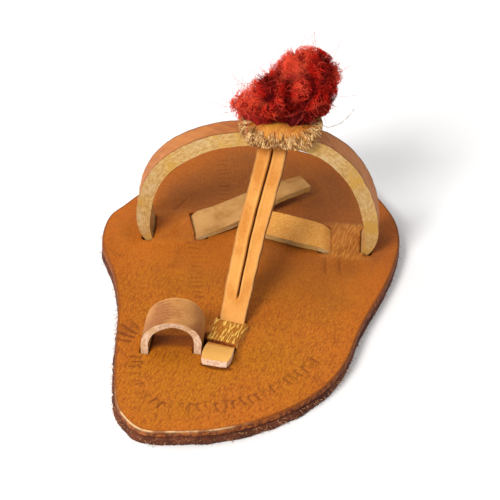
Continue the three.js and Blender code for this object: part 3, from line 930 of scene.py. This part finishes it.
def make_insole():
    """The upper sole layer: slotted, swollen over the strips, stamped and creased."""
    slots = [slot_contour(*slot) for slot in SLOTS]
    cut = Cut([sole_contour(), *slots, heel_hole()])
    bm = cut_sheet(cut, SHEET_LOW, SHEET_HIGH, INSOLE_CELL, (INSOLE_CORNER, 0.15, 0.0))
    upper = thicken(bm)
    is_top = np.array([vert in upper for vert in bm.verts])
    flat = numbers(bm.verts)
    rise, worn = swell(flat)
    pressed = stamp_marks(flat)
    depth = np.array([cut.depth(x, y) for x, y, _ in flat])
    rounding = 1 - np.clip(depth / INSOLE_CORNER, 0, 1)
    top = INSOLE_TOP + rise - STAMP_DEPTH * pressed - creases(flat)
    top -= INSOLE_CORNER_DROP * (1 - np.sqrt(1 - rounding ** 2))
    top += 0.10 * rough(flat, 7.0, 1) + 0.035 * rough(flat, 1.3, 2)
    top += 0.05 * rough(flat * np.array([2.2, 0.5, 1]), 0.9, 3) * worn
    base = INSOLE_BASE + rise + 0.05 * (depth < 0.1)
    set_heights(bm, np.where(is_top, top, base))
    outline = Cut([sole_contour()])
    marks = {
        "rim": np.array([outline.depth(x, y) for x, y, _ in flat]),
        # dirt in the stamped marks and creases, with painted shade under the toe loop and the thong's tab
        "pressed": dirt_and_painted_shade(flat, pressed) * is_top,
        "worn": worn * is_top,
        "side": np.where(is_top, 0.9 * (depth < 0.05), 1.0),
    }
    return finish_piece("insole_leather", bm, [insole_finish()], marks, SHEET_ANGLE)


def make_outsole():
    """The lower sole layer with its torn side."""
    cut = Cut([sole_contour(), heel_hole()])
    bm = cut_sheet(cut, SHEET_LOW, SHEET_HIGH, OUTSOLE_CELL, (0.9, 0.35))
    sides = [edge for edge in bm.edges if edge.is_boundary]
    bmesh.ops.subdivide_edges(bm, edges=sides, cuts=3)
    for vert in bm.verts:
        if vert.is_boundary:
            cut.snap(vert, 0.12)
    for vert in thicken(bm):
        vert.co.z = OUTSOLE_TOP
    subdivide_walls(bm, 1.0, 4)
    for vert in bm.verts:
        tear_side(vert, *cut.nearest(vert.co.x, vert.co.y)[1:])
    return finish_piece("outsole_leather", bm, [outsole_finish()], None, TORN_ANGLE)


def tear_side(vert, inward, depth):
    """Gives the outsole's cut side a ragged, bulging surface, rougher toward the toe."""
    if depth > 0.3:
        if vert.co.z > 0.1:
            vert.co.z += 0.03 * noise.noise(vert.co / 1.5)
        return
    if math.dist(vert.co.xy, HEEL_HOLE["middle"]) < 3:
        return
    share = vert.co.z / OUTSOLE_TOP
    wave = noise.noise(Vector((vert.co.x / 2.4, vert.co.y / 2.4, share * 0.8)))
    shred = noise.noise(Vector((vert.co.x / 0.55, vert.co.y / 0.55, share * 5.0)) + Vector((9, 0, 0)))
    toe = smooth((vert.co.y - 12.0) / 16.0)
    belly = 0.04 + (0.10 + 0.30 * toe) * math.sin(math.pi * min(share + 0.12, 1.0))
    out = belly + (0.10 + 0.16 * toe) * wave + (0.09 + 0.16 * toe) * shred
    vert.co.x -= inward[0] * out
    vert.co.y -= inward[1] * out
    if vert.co.z > 0.1:
        vert.co.z += 0.09 * shred - (0.12 if share > 0.95 else 0)


# ---- the strips ----


class Lay:
    """The line that a strip is bent along, with the strip's own directions at each place."""

    def __init__(self, rows, per_span=12):
        table = np.array(rows, float)
        self.middle = smooth_path(table[:, :3], per_span)
        station = np.linspace(0, len(rows) - 1, len(self.middle))
        turn, tilt, self.width, self.thick = (
            np.interp(station, range(len(rows)), column) for column in table[:, 3:].T)
        turn, tilt = np.radians(turn), np.radians(tilt)
        ahead = unit(np.gradient(self.middle, axis=0))
        across = np.stack([np.cos(turn) * np.cos(tilt), np.sin(turn) * np.cos(tilt), np.sin(tilt)],
                          axis=1)
        across = unit(across - ahead * np.sum(across * ahead, axis=1, keepdims=True))
        self.right = -across
        self.outward = -np.cross(ahead, across)
        self.run = run_along(self.middle)
        self.length = self.run[-1]

    def at(self, values, run):
        if values.ndim == 1:
            return np.interp(run, self.run, values)
        return np.stack([np.interp(run, self.run, column) for column in values.T], axis=1)

    def bend(self, flat, width, thick):
        """Carries points of the flat strip, which has that width and thickness, to their places."""
        run = flat[:, 0]
        aside = flat[:, 1] * self.at(self.width, run) / width
        above = flat[:, 2] * self.at(self.thick, run) / thick
        return (self.at(self.middle, run) + self.at(self.right, run) * aside[:, None]
                + self.at(self.outward, run) * above[:, None])


def flat_strip(length, width, thick, cells, wall_cuts, corner):
    """A flat leather strip from x = 0 with its corners broken. cells are their sizes along and across."""
    bm = grid_sheet((0, -width / 2), (length, width / 2), *cells)
    upper = thicken(bm)
    set_heights(bm, [thick / 2 if vert in upper else -thick / 2 for vert in bm.verts])
    corners = [edge for edge in bm.edges
               if edge.calc_face_angle(0) > 1 and edge.verts[0].co.z == edge.verts[1].co.z]
    bmesh.ops.bevel(bm, geom=corners, offset=corner, offset_type="OFFSET", segments=2, profile=0.5,
                    affect="EDGES", material=-1, clamp_overlap=True)
    subdivide_walls(bm, thick * 0.5, wall_cuts)
    bm.normal_update()
    for face in bm.faces:
        if abs(face.normal.z) > 0.75:
            face.material_index = 0 if face.normal.z > 0 else 1
        else:
            face.material_index = 2
    return bm


def make_strip(name, rows, width, thick, mesh, relief, finishes):
    """Presses a relief into a flat strip and bends it along its rows."""
    lay = Lay(rows)
    bm = flat_strip(lay.length, width, thick, **mesh)
    flat = numbers(bm.verts)
    # the third part of a relief marks where painted shade goes, inside the thong's slit
    pressed, raised, painted_slit_shade = relief(flat)
    move_points(bm, lay.bend(pressed, width, thick))
    return finish_piece(name, bm, finishes, {"lay": flat, "raised": raised, "painted_slit_shade": painted_slit_shade})


def leather_relief(flat, width, seed, ripple, edge_wave):
    """Small lumps on both faces and a hand-cut wave along both sides."""
    out = flat.copy()
    side = np.sign(flat[:, 1:2])
    out[:, 2] += ripple * (rough(flat, 1.7, seed) + 0.6 * rough(flat, 0.7, seed + 1)) * np.sign(flat[:, 2])
    near_side = smooth((np.abs(flat[:, 1]) - width / 2 + 0.9) / 0.9)
    wave = rough(flat * np.array([1, 0, 0.3]) + np.array([0, 5, 0]) * side, 2.6, seed + 2)
    wave += 0.5 * rough(flat * np.array([1, 0, 1.2]) + np.array([0, 9, 0]) * side, 0.8, seed + 3)
    out[:, 1] += edge_wave * wave * near_side * side[:, 0]
    return out


def strap_relief(flat):
    """Slanting embossed ridges on the grain side of the instep strap."""
    out = leather_relief(flat, STRAP_WIDTH, 11, ripple=0.06, edge_wave=0.13)
    slant = flat[:, 0] * 0.78 + flat[:, 1] * 0.62 + 0.35 * rough(flat, 3.0, 15)
    ridge = np.clip(np.cos(slant * 2 * math.pi / STRAP_RIDGE_PITCH), 0, 1) ** 2
    on_grain = smooth(flat[:, 2] / 0.9 - 0.2)
    inside = smooth((2.9 - np.abs(flat[:, 1])) / 0.7)
    raised = ridge * on_grain * inside
    out[:, 2] += STRAP_RIDGE_HEIGHT * raised
    return out, raised, np.zeros(len(flat))


def thong_relief(flat):
    """The slit with lifted lips down the middle of the thong strap, and its cut tip."""
    out = leather_relief(flat, THONG_WIDTH, 31, ripple=0.05, edge_wave=0.10)
    start, end = THONG_SLIT
    along = smooth((flat[:, 0] - start) / 1.5) * smooth((end - flat[:, 0]) / 1.5)
    wander = 0.14 * rough(flat * np.array([1, 0, 0]), 5.0, 35) + 0.05
    aside = flat[:, 1] - wander
    on_top = smooth(flat[:, 2] / 0.5)
    slit = np.exp(-(aside / SLIT_HALF) ** 2) * along * on_top
    lips = np.exp(-((np.abs(aside) - 0.42) / 0.24) ** 2) * along * on_top
    out[:, 2] += LIP_HEIGHT * lips - SLIT_DEPTH * slit
    edge = smooth((np.abs(flat[:, 1]) - 1.7) / 0.6) * on_top
    # the free end is cut with blunt corners, thinner toward its tip
    tip = np.clip((flat[:, 0] - flat[:, 0].max() + TIP_LENGTH) / TIP_LENGTH, 0, 1)
    out[:, 1] *= 1 - 0.20 * tip ** 2.2
    out[:, 0] += tip * (0.16 * rough(flat * np.array([0, 1, 0.4]), 1.1, 37) - 0.05 * flat[:, 1])
    out[:, 2] -= 0.45 * tip ** 1.6
    # the slit's mask also carries the slit's painted shade
    return out, np.maximum(0.8 * lips, edge), slit


def loop_relief(flat):
    """Fine lines drawn round the toe loop."""
    out = leather_relief(flat, LOOP_WIDTH, 51, ripple=0.04, edge_wave=0.10)
    line = np.cos(flat[:, 1] * 2 * math.pi / LOOP_LINE_PITCH + 2.2 * rough(flat, 2.2, 55))
    strength = 0.25 + 0.75 * smooth(0.5 + 1.2 * rough(flat, 1.4, 56))
    raised = np.clip(line, 0, 1) ** 2 * strength * smooth(flat[:, 2] / 0.5)
    out[:, 2] += LOOP_LINE_HEIGHT * raised
    return out, raised, np.zeros(len(flat))


def placed(rows, spot, skew):
    """Rows measured on a skewed line, set on the floor plan."""
    return [(*spot(along, front), INSOLE_TOP + up, turn + skew, tilt, width, thick)
            for along, front, up, turn, tilt, width, thick in rows]


def make_instep_strap():
    tan = grain_finish("tan strap grain", (0.50, 0.165, 0.032), (0.60, 0.245, 0.070),
                       (0.40, 0.115, 0.018), 0.45, edge_at=3.05)
    return make_strip("instep_strap", placed(INSTEP_STRAP, on_strap, STRAP_SKEW), STRAP_WIDTH,
                      STRAP_THICK, STRAP_MESH, strap_relief,
                      [tan, flesh_finish(), cream_edge_finish()])


def make_thong():
    golden = grain_finish("golden thong grain", (0.70, 0.300, 0.058), (0.82, 0.455, 0.140),
                          (0.57, 0.200, 0.022), 0.40, TAB_START, 2.6)
    rows = [(x, y, INSOLE_TOP + up, *rest) for x, y, up, *rest in THONG]
    return make_strip("thong_strap", rows, THONG_WIDTH, THONG_THICK, THONG_MESH,
                      thong_relief, [golden, flesh_finish(), brown_edge_finish()])


def make_toe_loop():
    lined = grain_finish("lined loop grain", (0.52, 0.225, 0.060), (0.70, 0.400, 0.145),
                         (0.30, 0.095, 0.024), 0.32)
    # the rows run backwards, so that the grain side comes out on the outside
    rows = [(along, 0.0, up, LOOP_TURN, tilt, LOOP_WIDTH, LOOP_THICK)
            for along, up, tilt in reversed(TOE_LOOP)]
    return make_strip("toe_loop_strip", placed(rows, on_loop, LOOP_SKEW), LOOP_WIDTH, LOOP_THICK,
                      LOOP_MESH, loop_relief, [lined, flesh_finish(), pink_edge_finish()])


# ---- the rosette ----


def rosette_sheet():
    """The rosette laid flat: its outline, and its middle line with the run along it."""
    table = np.array(ROSETTE)
    middle = smooth_path(table[:, :2], 10)
    run = run_along(middle)
    station = np.linspace(0, len(table) - 1, len(middle))
    half = np.interp(station, range(len(table)), table[:, 2])
    right = np.stack([run, -half], axis=1)
    left = np.stack([run, half], axis=1)[::-1]
    return np.concatenate([right, left]), middle, run


def bend_rosette(flat, offset, middle, run):
    """Carries points of the flat rosette, at an offset from its middle, over the strap."""
    ahead = unit(np.gradient(middle, axis=0))
    x, aside = flat[:, 0], flat[:, 1]
    front = np.interp(x, run, middle[:, 0]) + np.interp(x, run, ahead[:, 1]) * offset
    # the sheet's upper side is to the right of its middle line, which runs backwards
    up = np.interp(x, run, middle[:, 1]) - np.interp(x, run, ahead[:, 0]) * offset
    places = [on_strap(along, ahead_of) for along, ahead_of in zip(ROSETTE_ALONG + aside, front)]
    height = INSOLE_TOP + up - aside * aside / (2 * ROSETTE_BEND)
    return np.c_[np.array(places), height]


def pinked(points):
    """A contour with small triangular teeth."""
    even = evenly(points, TOOTH_PITCH / 2, closed=True)
    even = even[:len(even) // 2 * 2]
    dice = random.Random(23)
    bite = [dice.uniform(0.6, 1.3) if k % 2 else dice.uniform(-0.25, 0.1) for k in range(len(even))]
    return even + to_left(headings(even)) * (TOOTH_DEPTH * np.array(bite))[:, None]


def make_rosette():
    body, middle, run = rosette_sheet()
    tongue = [slot_contour((run[-1] - 2.6, aside), 4.4, 0.30, lean, 0.12) for aside, lean in TONGUE_CUTS]
    cut = Cut([pinked(body), *tongue], 0.04)
    bm = cut_sheet(cut, (-0.6, -7.6), (run[-1] + 0.6, 7.6), ROSETTE_CELL, (0.14, 0.0))
    upper = thicken(bm)
    flat = numbers(bm.verts)
    rim = np.array([cut.depth(x, y) for x, y, _ in flat])
    side = np.array([0.5 if vert in upper else -0.5 for vert in bm.verts])
    lumps = rough(flat, 2.2, 61) + 0.5 * rough(flat, 0.8, 62)
    curl = smooth((2.2 - rim) / 2.2) * (0.35 + 0.45 * rough(flat * np.array([1, 1, 0]), 1.8, 63))
    offset = side * ROSETTE_THICK * (0.45 + 0.55 * smooth(rim / 0.8)) + 0.10 * lumps + 0.40 * curl
    move_points(bm, bend_rosette(flat, offset, middle, run))
    bmesh.ops.recalc_face_normals(bm, faces=bm.faces[:])
    return finish_piece("leather_rosette", bm, [rosette_finish()], {"rim": rim}, SHEET_ANGLE)


def rosette_fibres(shade):
    """Flat torn fibres that stand out of the rosette's edge and curl over its lip."""
    body, middle, run = rosette_sheet()
    contour = evenly(body, FRINGE_STEP, closed=True)
    dice = random.Random(61 + shade)
    share = np.linspace(0, 1, 5)
    fibres = []
    for (x, aside), (a, b) in zip(contour, headings(contour)):
        # the tongue's end has its own cuts and stays bare
        if x > 13.0:
            continue
        for _ in range(3):
            if dice.random() < 0.12:
                continue
            outward = unit(np.array([b, -a]) + np.array([a, b]) * dice.gauss(0, 0.45))
            front = smooth((6.0 - x) / 5.0)
            reach_in = dice.uniform(0.4, 1.0 + 1.4 * front)
            length = reach_in + dice.uniform(0.0, 0.30 + 0.40 * front)
            flat = np.array([x, aside]) + outward * (share * length - reach_in)[:, None]
            arch = 0.62 + 0.34 * np.sin(share * math.pi * 0.85) - dice.uniform(0.2, 1.0) * share ** 3
            path = bend_rosette(flat, arch, middle, run)
            fibres.append((path, dice.uniform(0.032, 0.078) * (1 - 0.55 * share ** 2)))
    return fibres


def make_rosette_fringe():
    cream = plain_fibre_finish("cream fringe", (0.44, 0.190, 0.045), (0.86, 0.58, 0.26))
    return fibre_piece("rosette_fringe", rosette_fibres(0), cream)


def make_dark_fringe():
    brown = plain_fibre_finish("brown fringe", (0.070, 0.024, 0.010), (0.34, 0.125, 0.035))
    return fibre_piece("dark_fringe", rosette_fibres(1)[::2], brown)


# ---- the pompom ----


def lobe_places(table):
    """Each lobe's middle on the sandal and its radii."""
    return [(np.array([*on_strap(along, front), INSOLE_TOP + up]), np.array(radii))
            for along, front, up, *radii in table]


def reach(points, lobes):
    """How far out each point is in the lobe that holds it best: 1 on the surface."""
    best = np.full(len(points), 9.0)
    spin = np.eye(3)
    spin[:2, :2] = plan_turn(-math.radians(STRAP_SKEW))
    for middle, radii in lobes:
        local = (points - middle) @ spin / radii
        best = np.minimum(best, np.linalg.norm(local, axis=1))
    return best


def evaluated(thing):
    """The mesh that a curve or an object with modifiers comes to; the object itself goes."""
    shown = bpy.context.evaluated_depsgraph_get()
    mesh = bpy.data.meshes.new_from_object(thing.evaluated_get(shown))
    bpy.data.objects.remove(thing)
    bm = bmesh.new()
    bm.from_mesh(mesh)
    bpy.data.meshes.remove(mesh)
    return bm


def make_wool_core(lobes):
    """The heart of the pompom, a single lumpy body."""
    bm = bmesh.new()
    for middle, radii in lobes:
        ball = Matrix.Translation(middle) @ Matrix.Rotation(math.radians(STRAP_SKEW), 4, "Z")
        ball = ball @ Matrix.Diagonal((*(radii * CORE_SHARE), 1))
        bmesh.ops.create_icosphere(bm, subdivisions=4, radius=1.0, matrix=ball)
    mesh = bpy.data.meshes.new("core")
    bm.to_mesh(mesh)
    bm.free()
    whole = add_object("core", mesh)
    remesh = whole.modifiers.new("one body", "REMESH")
    remesh.mode = "VOXEL"
    remesh.voxel_size = CORE_CELL
    bm = evaluated(whole)
    bm.normal_update()
    at = numbers(bm.verts)
    lumps = 0.55 * rough(at, 1.5, 71) + 0.25 * rough(at, 0.6, 72)
    for vert, lump in zip(bm.verts, lumps):
        vert.co += vert.normal * lump
    at = numbers(bm.verts)
    # the core is painted very dark, as the shade deep inside the wool
    deep = wool_finish("deep red wool", (0.045, 0.002, 0.003), (0.16, 0.006, 0.006), (0.30, 0.015, 0.012))
    return finish_piece("wool_core", bm, [deep], {"tip": reach(at, lobes), "painted_light": painted_light(at)},
                        FIBRE_ANGLE)


def fibre_mesh(name, fibres, sides=0):
    """Thin closed fibres as one mesh; a fibre is its points and its radius at each."""
    curve = bpy.data.curves.new(name, "CURVE")
    curve.dimensions = "3D"
    curve.bevel_depth = 1.0
    curve.bevel_resolution = sides
    curve.use_fill_caps = True
    for points, radii in fibres:
        spline = curve.splines.new("POLY")
        spline.points.add(len(points) - 1)
        spline.points.foreach_set("co", np.c_[points, np.ones(len(points))].ravel())
        spline.points.foreach_set("radius", radii)
    bm = evaluated(add_object(name, curve))
    bmesh.ops.remove_doubles(bm, verts=bm.verts[:], dist=0.002)
    return bm


def fibre_piece(name, fibres, finish, sides=0):
    """A piece that is all fibres of one finish."""
    return finish_piece(name, fibre_mesh(name, fibres, sides), [finish], None, FIBRE_ANGLE)


def painted_light(points):
    """How much painted light the wool gets at each point, from 0 (painted shade) to 1 (painted highlight).
    """
    turn = math.radians(STRAP_SKEW)
    flat = points[:, :2] - np.array(STRAP_MIDDLE)
    along = flat @ np.array([math.cos(turn), math.sin(turn)])
    up = points[:, 2] - INSOLE_TOP
    total = np.full(len(points), 1e-6)
    held = np.zeros(len(points))
    for middle, height, spread, value in PAINTED_WOOL_LIGHT:
        weight = np.exp(-((along - middle) ** 2 + (up - height) ** 2) / spread ** 2)
        total += weight
        held += weight * value
    return np.clip(held / total + 0.35 * rough(points, 1.8, 79), 0, 1)


def throw(dice, *lean):
    """A random direction that leans a little along the axes."""
    return unit(np.array([dice.gauss(mean, 1) for mean in lean]))


def folds(points):
    """Where deep folds part the wool into masses, from 0 to 1."""
    return np.exp(-(rough(points, 4.4, 77) / 0.24) ** 2)


def tuft_fibres(dice, lobes, tufts, per_tuft, root, limit, length, radius):
    """Curled tufts of wool: the fibres of a tuft turn together, a little apart."""
    weights = [np.prod(radii) ** 0.67 for _, radii in lobes]
    share = np.linspace(0, 1, 7)[:, None]
    fibres = []
    for _ in range(tufts):
        middle, radii = dice.choices(lobes, weights)[0]
        way = throw(dice, 0, 0, 0.25)
        start = middle + way * radii * root
        flow = throw(dice, 0, 0, 0)
        axis = unit(way * dice.uniform(0.35, 1.0) + flow * 0.75)
        side = unit(np.cross(axis, flow + np.array([0.01, 0.02, 0.03])))
        other = np.cross(axis, side)
        curl = dice.uniform(0.20, 0.85)
        turns = dice.uniform(0.55, 1.5) * 2 * math.pi
        phase = dice.uniform(0, 2 * math.pi)
        run = length * dice.uniform(0.7, 1.25)
        for _ in range(per_tuft):
            spread = np.array([dice.gauss(0, 0.50) for _ in range(3)])
            angle = phase + dice.gauss(0, 0.7) + turns * share
            own_curl = curl * dice.uniform(0.75, 1.25)
            straight = start + spread * (0.5 + 0.9 * share) + axis * run * share * dice.uniform(0.8, 1.1)
            round_it = own_curl * (side * np.cos(angle) + other * np.sin(angle)) * np.sqrt(share)
            path = middle + held_in(straight + round_it, middle, lobes, limit)
            taper = radius * (1.0 - 0.55 * share[:, 0]) * dice.uniform(0.75, 1.2)
            fibres.append((path, taper))
    return fibres


def held_in(path, middle, lobes, limit):
    """A fibre's points from the middle of its lobe, drawn back where they pass the pompom's limit."""
    out = reach(path, lobes)[:, None]
    edge = limit * (1 - 0.30 * folds(path))[:, None]
    keep = np.where(out > edge, (edge + (out - edge) * 0.22) / np.maximum(out, 0.01), 1.0)
    return (path - middle) * keep


def make_wool(lobes, neck):
    """The under wool, down to the rosette, painted dark as the shade under the tufts, and the bright
    teased tufts over it.
    """
    dice = random.Random(41)
    under = tuft_fibres(dice, lobes, **UNDER_WOOL)
    under += tuft_fibres(random.Random(53), neck, **NECK_WOOL)
    over = tuft_fibres(dice, lobes, **OVER_WOOL)
    felt = tuft_fibres(dice, lobes, **FELT_WOOL)
    # the under wool's colours are painted darker, as the shade beneath the outer tufts
    kinds = (
        ("wool_under", under, ((0.06, 0.002, 0.002), (0.30, 0.009, 0.006), (0.50, 0.028, 0.013))),
        ("wool_tufts", over, ((0.10, 0.002, 0.002), (0.60, 0.014, 0.006), (0.90, 0.100, 0.044))),
        ("wool_felt", felt, ((0.15, 0.003, 0.002), (0.66, 0.018, 0.008), (0.94, 0.125, 0.058))),
    )
    made = []
    for name, fibres, colors in kinds:
        bm = fibre_mesh(name, fibres)
        at = numbers(bm.verts)
        # the tip mark sinks in the folds, where the wool is painted in shade
        marks = {"tip": reach(at, lobes + neck) - 0.22 * folds(at), "painted_light": painted_light(at)}
        made.append(finish_piece(name, bm, [wool_finish(name.replace("_", " "), *colors)], marks,
                                 FIBRE_ANGLE))
    return made


def make_flyaways(lobes):
    """Single stray wool hairs that stand off the pompom."""
    dice = random.Random(43)
    share = np.linspace(0, 1, 7)[:, None]
    fibres = []
    for _ in range(STRAY_HAIRS):
        middle, radii = dice.choice(lobes)
        way = throw(dice, 0.15, 0, 0.3)
        start = middle + way * radii * 0.85
        drift = throw(dice, 0, 0, 0)
        run = dice.uniform(1.2, 3.0) if dice.random() < 0.85 else dice.uniform(3.0, 4.6)
        path = start + way * run * share + drift * run * 0.55 * share ** 2
        path += 0.12 * np.sin(share * dice.uniform(5, 12)) * np.cross(way, drift)
        fibres.append((path, np.full(7, dice.uniform(0.020, 0.034))))
    bm = fibre_mesh("wool_hairs", fibres)
    marks = {"tip": np.full(len(bm.verts), 0.95), "painted_light": np.full(len(bm.verts), 0.5)}
    hair = wool_finish("red wool hair", (0.30, 0.012, 0.010), (0.60, 0.060, 0.040), (0.74, 0.12, 0.07))
    return finish_piece("wool_hairs", bm, [hair], marks, FIBRE_ANGLE)


def make_tie_thread():
    """The loose end of the pale thread that ties the pompom: one strand with a thinner one round it."""
    points = [(*on_strap(along, front), INSOLE_TOP + up) for along, front, up in TIE_THREAD]
    path = evenly(smooth_path(points, 8), 0.4)
    other = path + 0.10 * np.sin(np.arange(len(path))[:, None] * np.array([0.9, 1.1, 0.8]))
    strands = [(path, np.full(len(path), 0.085)), (other, np.full(len(path), 0.045))]
    pale = plain_fibre_finish("pale tie thread", (0.50, 0.46, 0.42), (0.74, 0.70, 0.66))
    return fibre_piece("tie_thread", strands, pale, 1)


def make_edge_fibres():
    """Short torn fibres along the ragged side of the outsole, most of them round the toe."""
    dice = random.Random(47)
    contour = evenly(sole_contour(), TORN_STEP, closed=True)
    share = np.linspace(0, 1, 4)[:, None]
    fibres = []
    for (x, y), (a, b) in zip(contour, headings(contour)):
        for _ in range(2):
            if dice.random() < (0.35 if y > 12 else 0.88):
                continue
            outward = np.array([b, -a, 0.0])
            start = np.array([x, y, dice.uniform(0.4, 1.5)]) + outward * 0.05
            drift = np.array([a, b, 0]) * dice.gauss(0, 0.9) + np.array([0, 0, dice.gauss(0, 0.35)])
            run = dice.uniform(0.4, 0.95)
            bend = np.array([0, 0, dice.uniform(-0.35, 0.1)])
            path = start + unit(outward + drift) * run * share + bend * share ** 2
            path[:, 2] = np.maximum(path[:, 2], 0.08)
            fibres.append((path, dice.uniform(0.035, 0.075) * (1 - 0.7 * share[:, 0])))
    pale = plain_fibre_finish("torn sole fibre", (0.24, 0.085, 0.035), (0.62, 0.33, 0.16))
    return fibre_piece("outsole_fibres", fibres, pale)


# ---- everything together ----


def dress(piece, node):
    """Puts a piece in the place of a node of the model, on its only body."""
    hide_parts(node)
    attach(piece, "root")


set_camera()
set_lights()

floor_mesh = bmesh.new()
bmesh.ops.create_grid(floor_mesh, x_segments=1, y_segments=1, size=FLOOR_HALF)
floor = finish_piece("floor", floor_mesh, [floor_finish()])

PIECES = [
    (make_outsole, "outsole", "sole_leather"),
    (make_edge_fibres, "outsole", "sole_leather"),
    (make_insole, "insole", "tan_leather"),
    (make_instep_strap, "upper", "strap_leather"),
    (make_thong, "upper", "strap_leather"),
    (make_toe_loop, "toe_loop", "strap_leather"),
    (make_rosette, "rosette", "rosette_leather"),
    (make_rosette_fringe, "rosette", "rosette_leather"),
    (make_dark_fringe, "rosette", "rosette_leather"),
]
for make, node, slot in PIECES:
    dress(make(), node)

wool_lobes = lobe_places(POMPOM)
wool_neck = lobe_places(POMPOM_NECK)
wool = [make_wool_core(wool_lobes + wool_neck), *make_wool(wool_lobes, wool_neck)]
wool += [make_flyaways(wool_lobes), make_tie_thread()]
for piece in wool:
    dress(piece, "pompom")
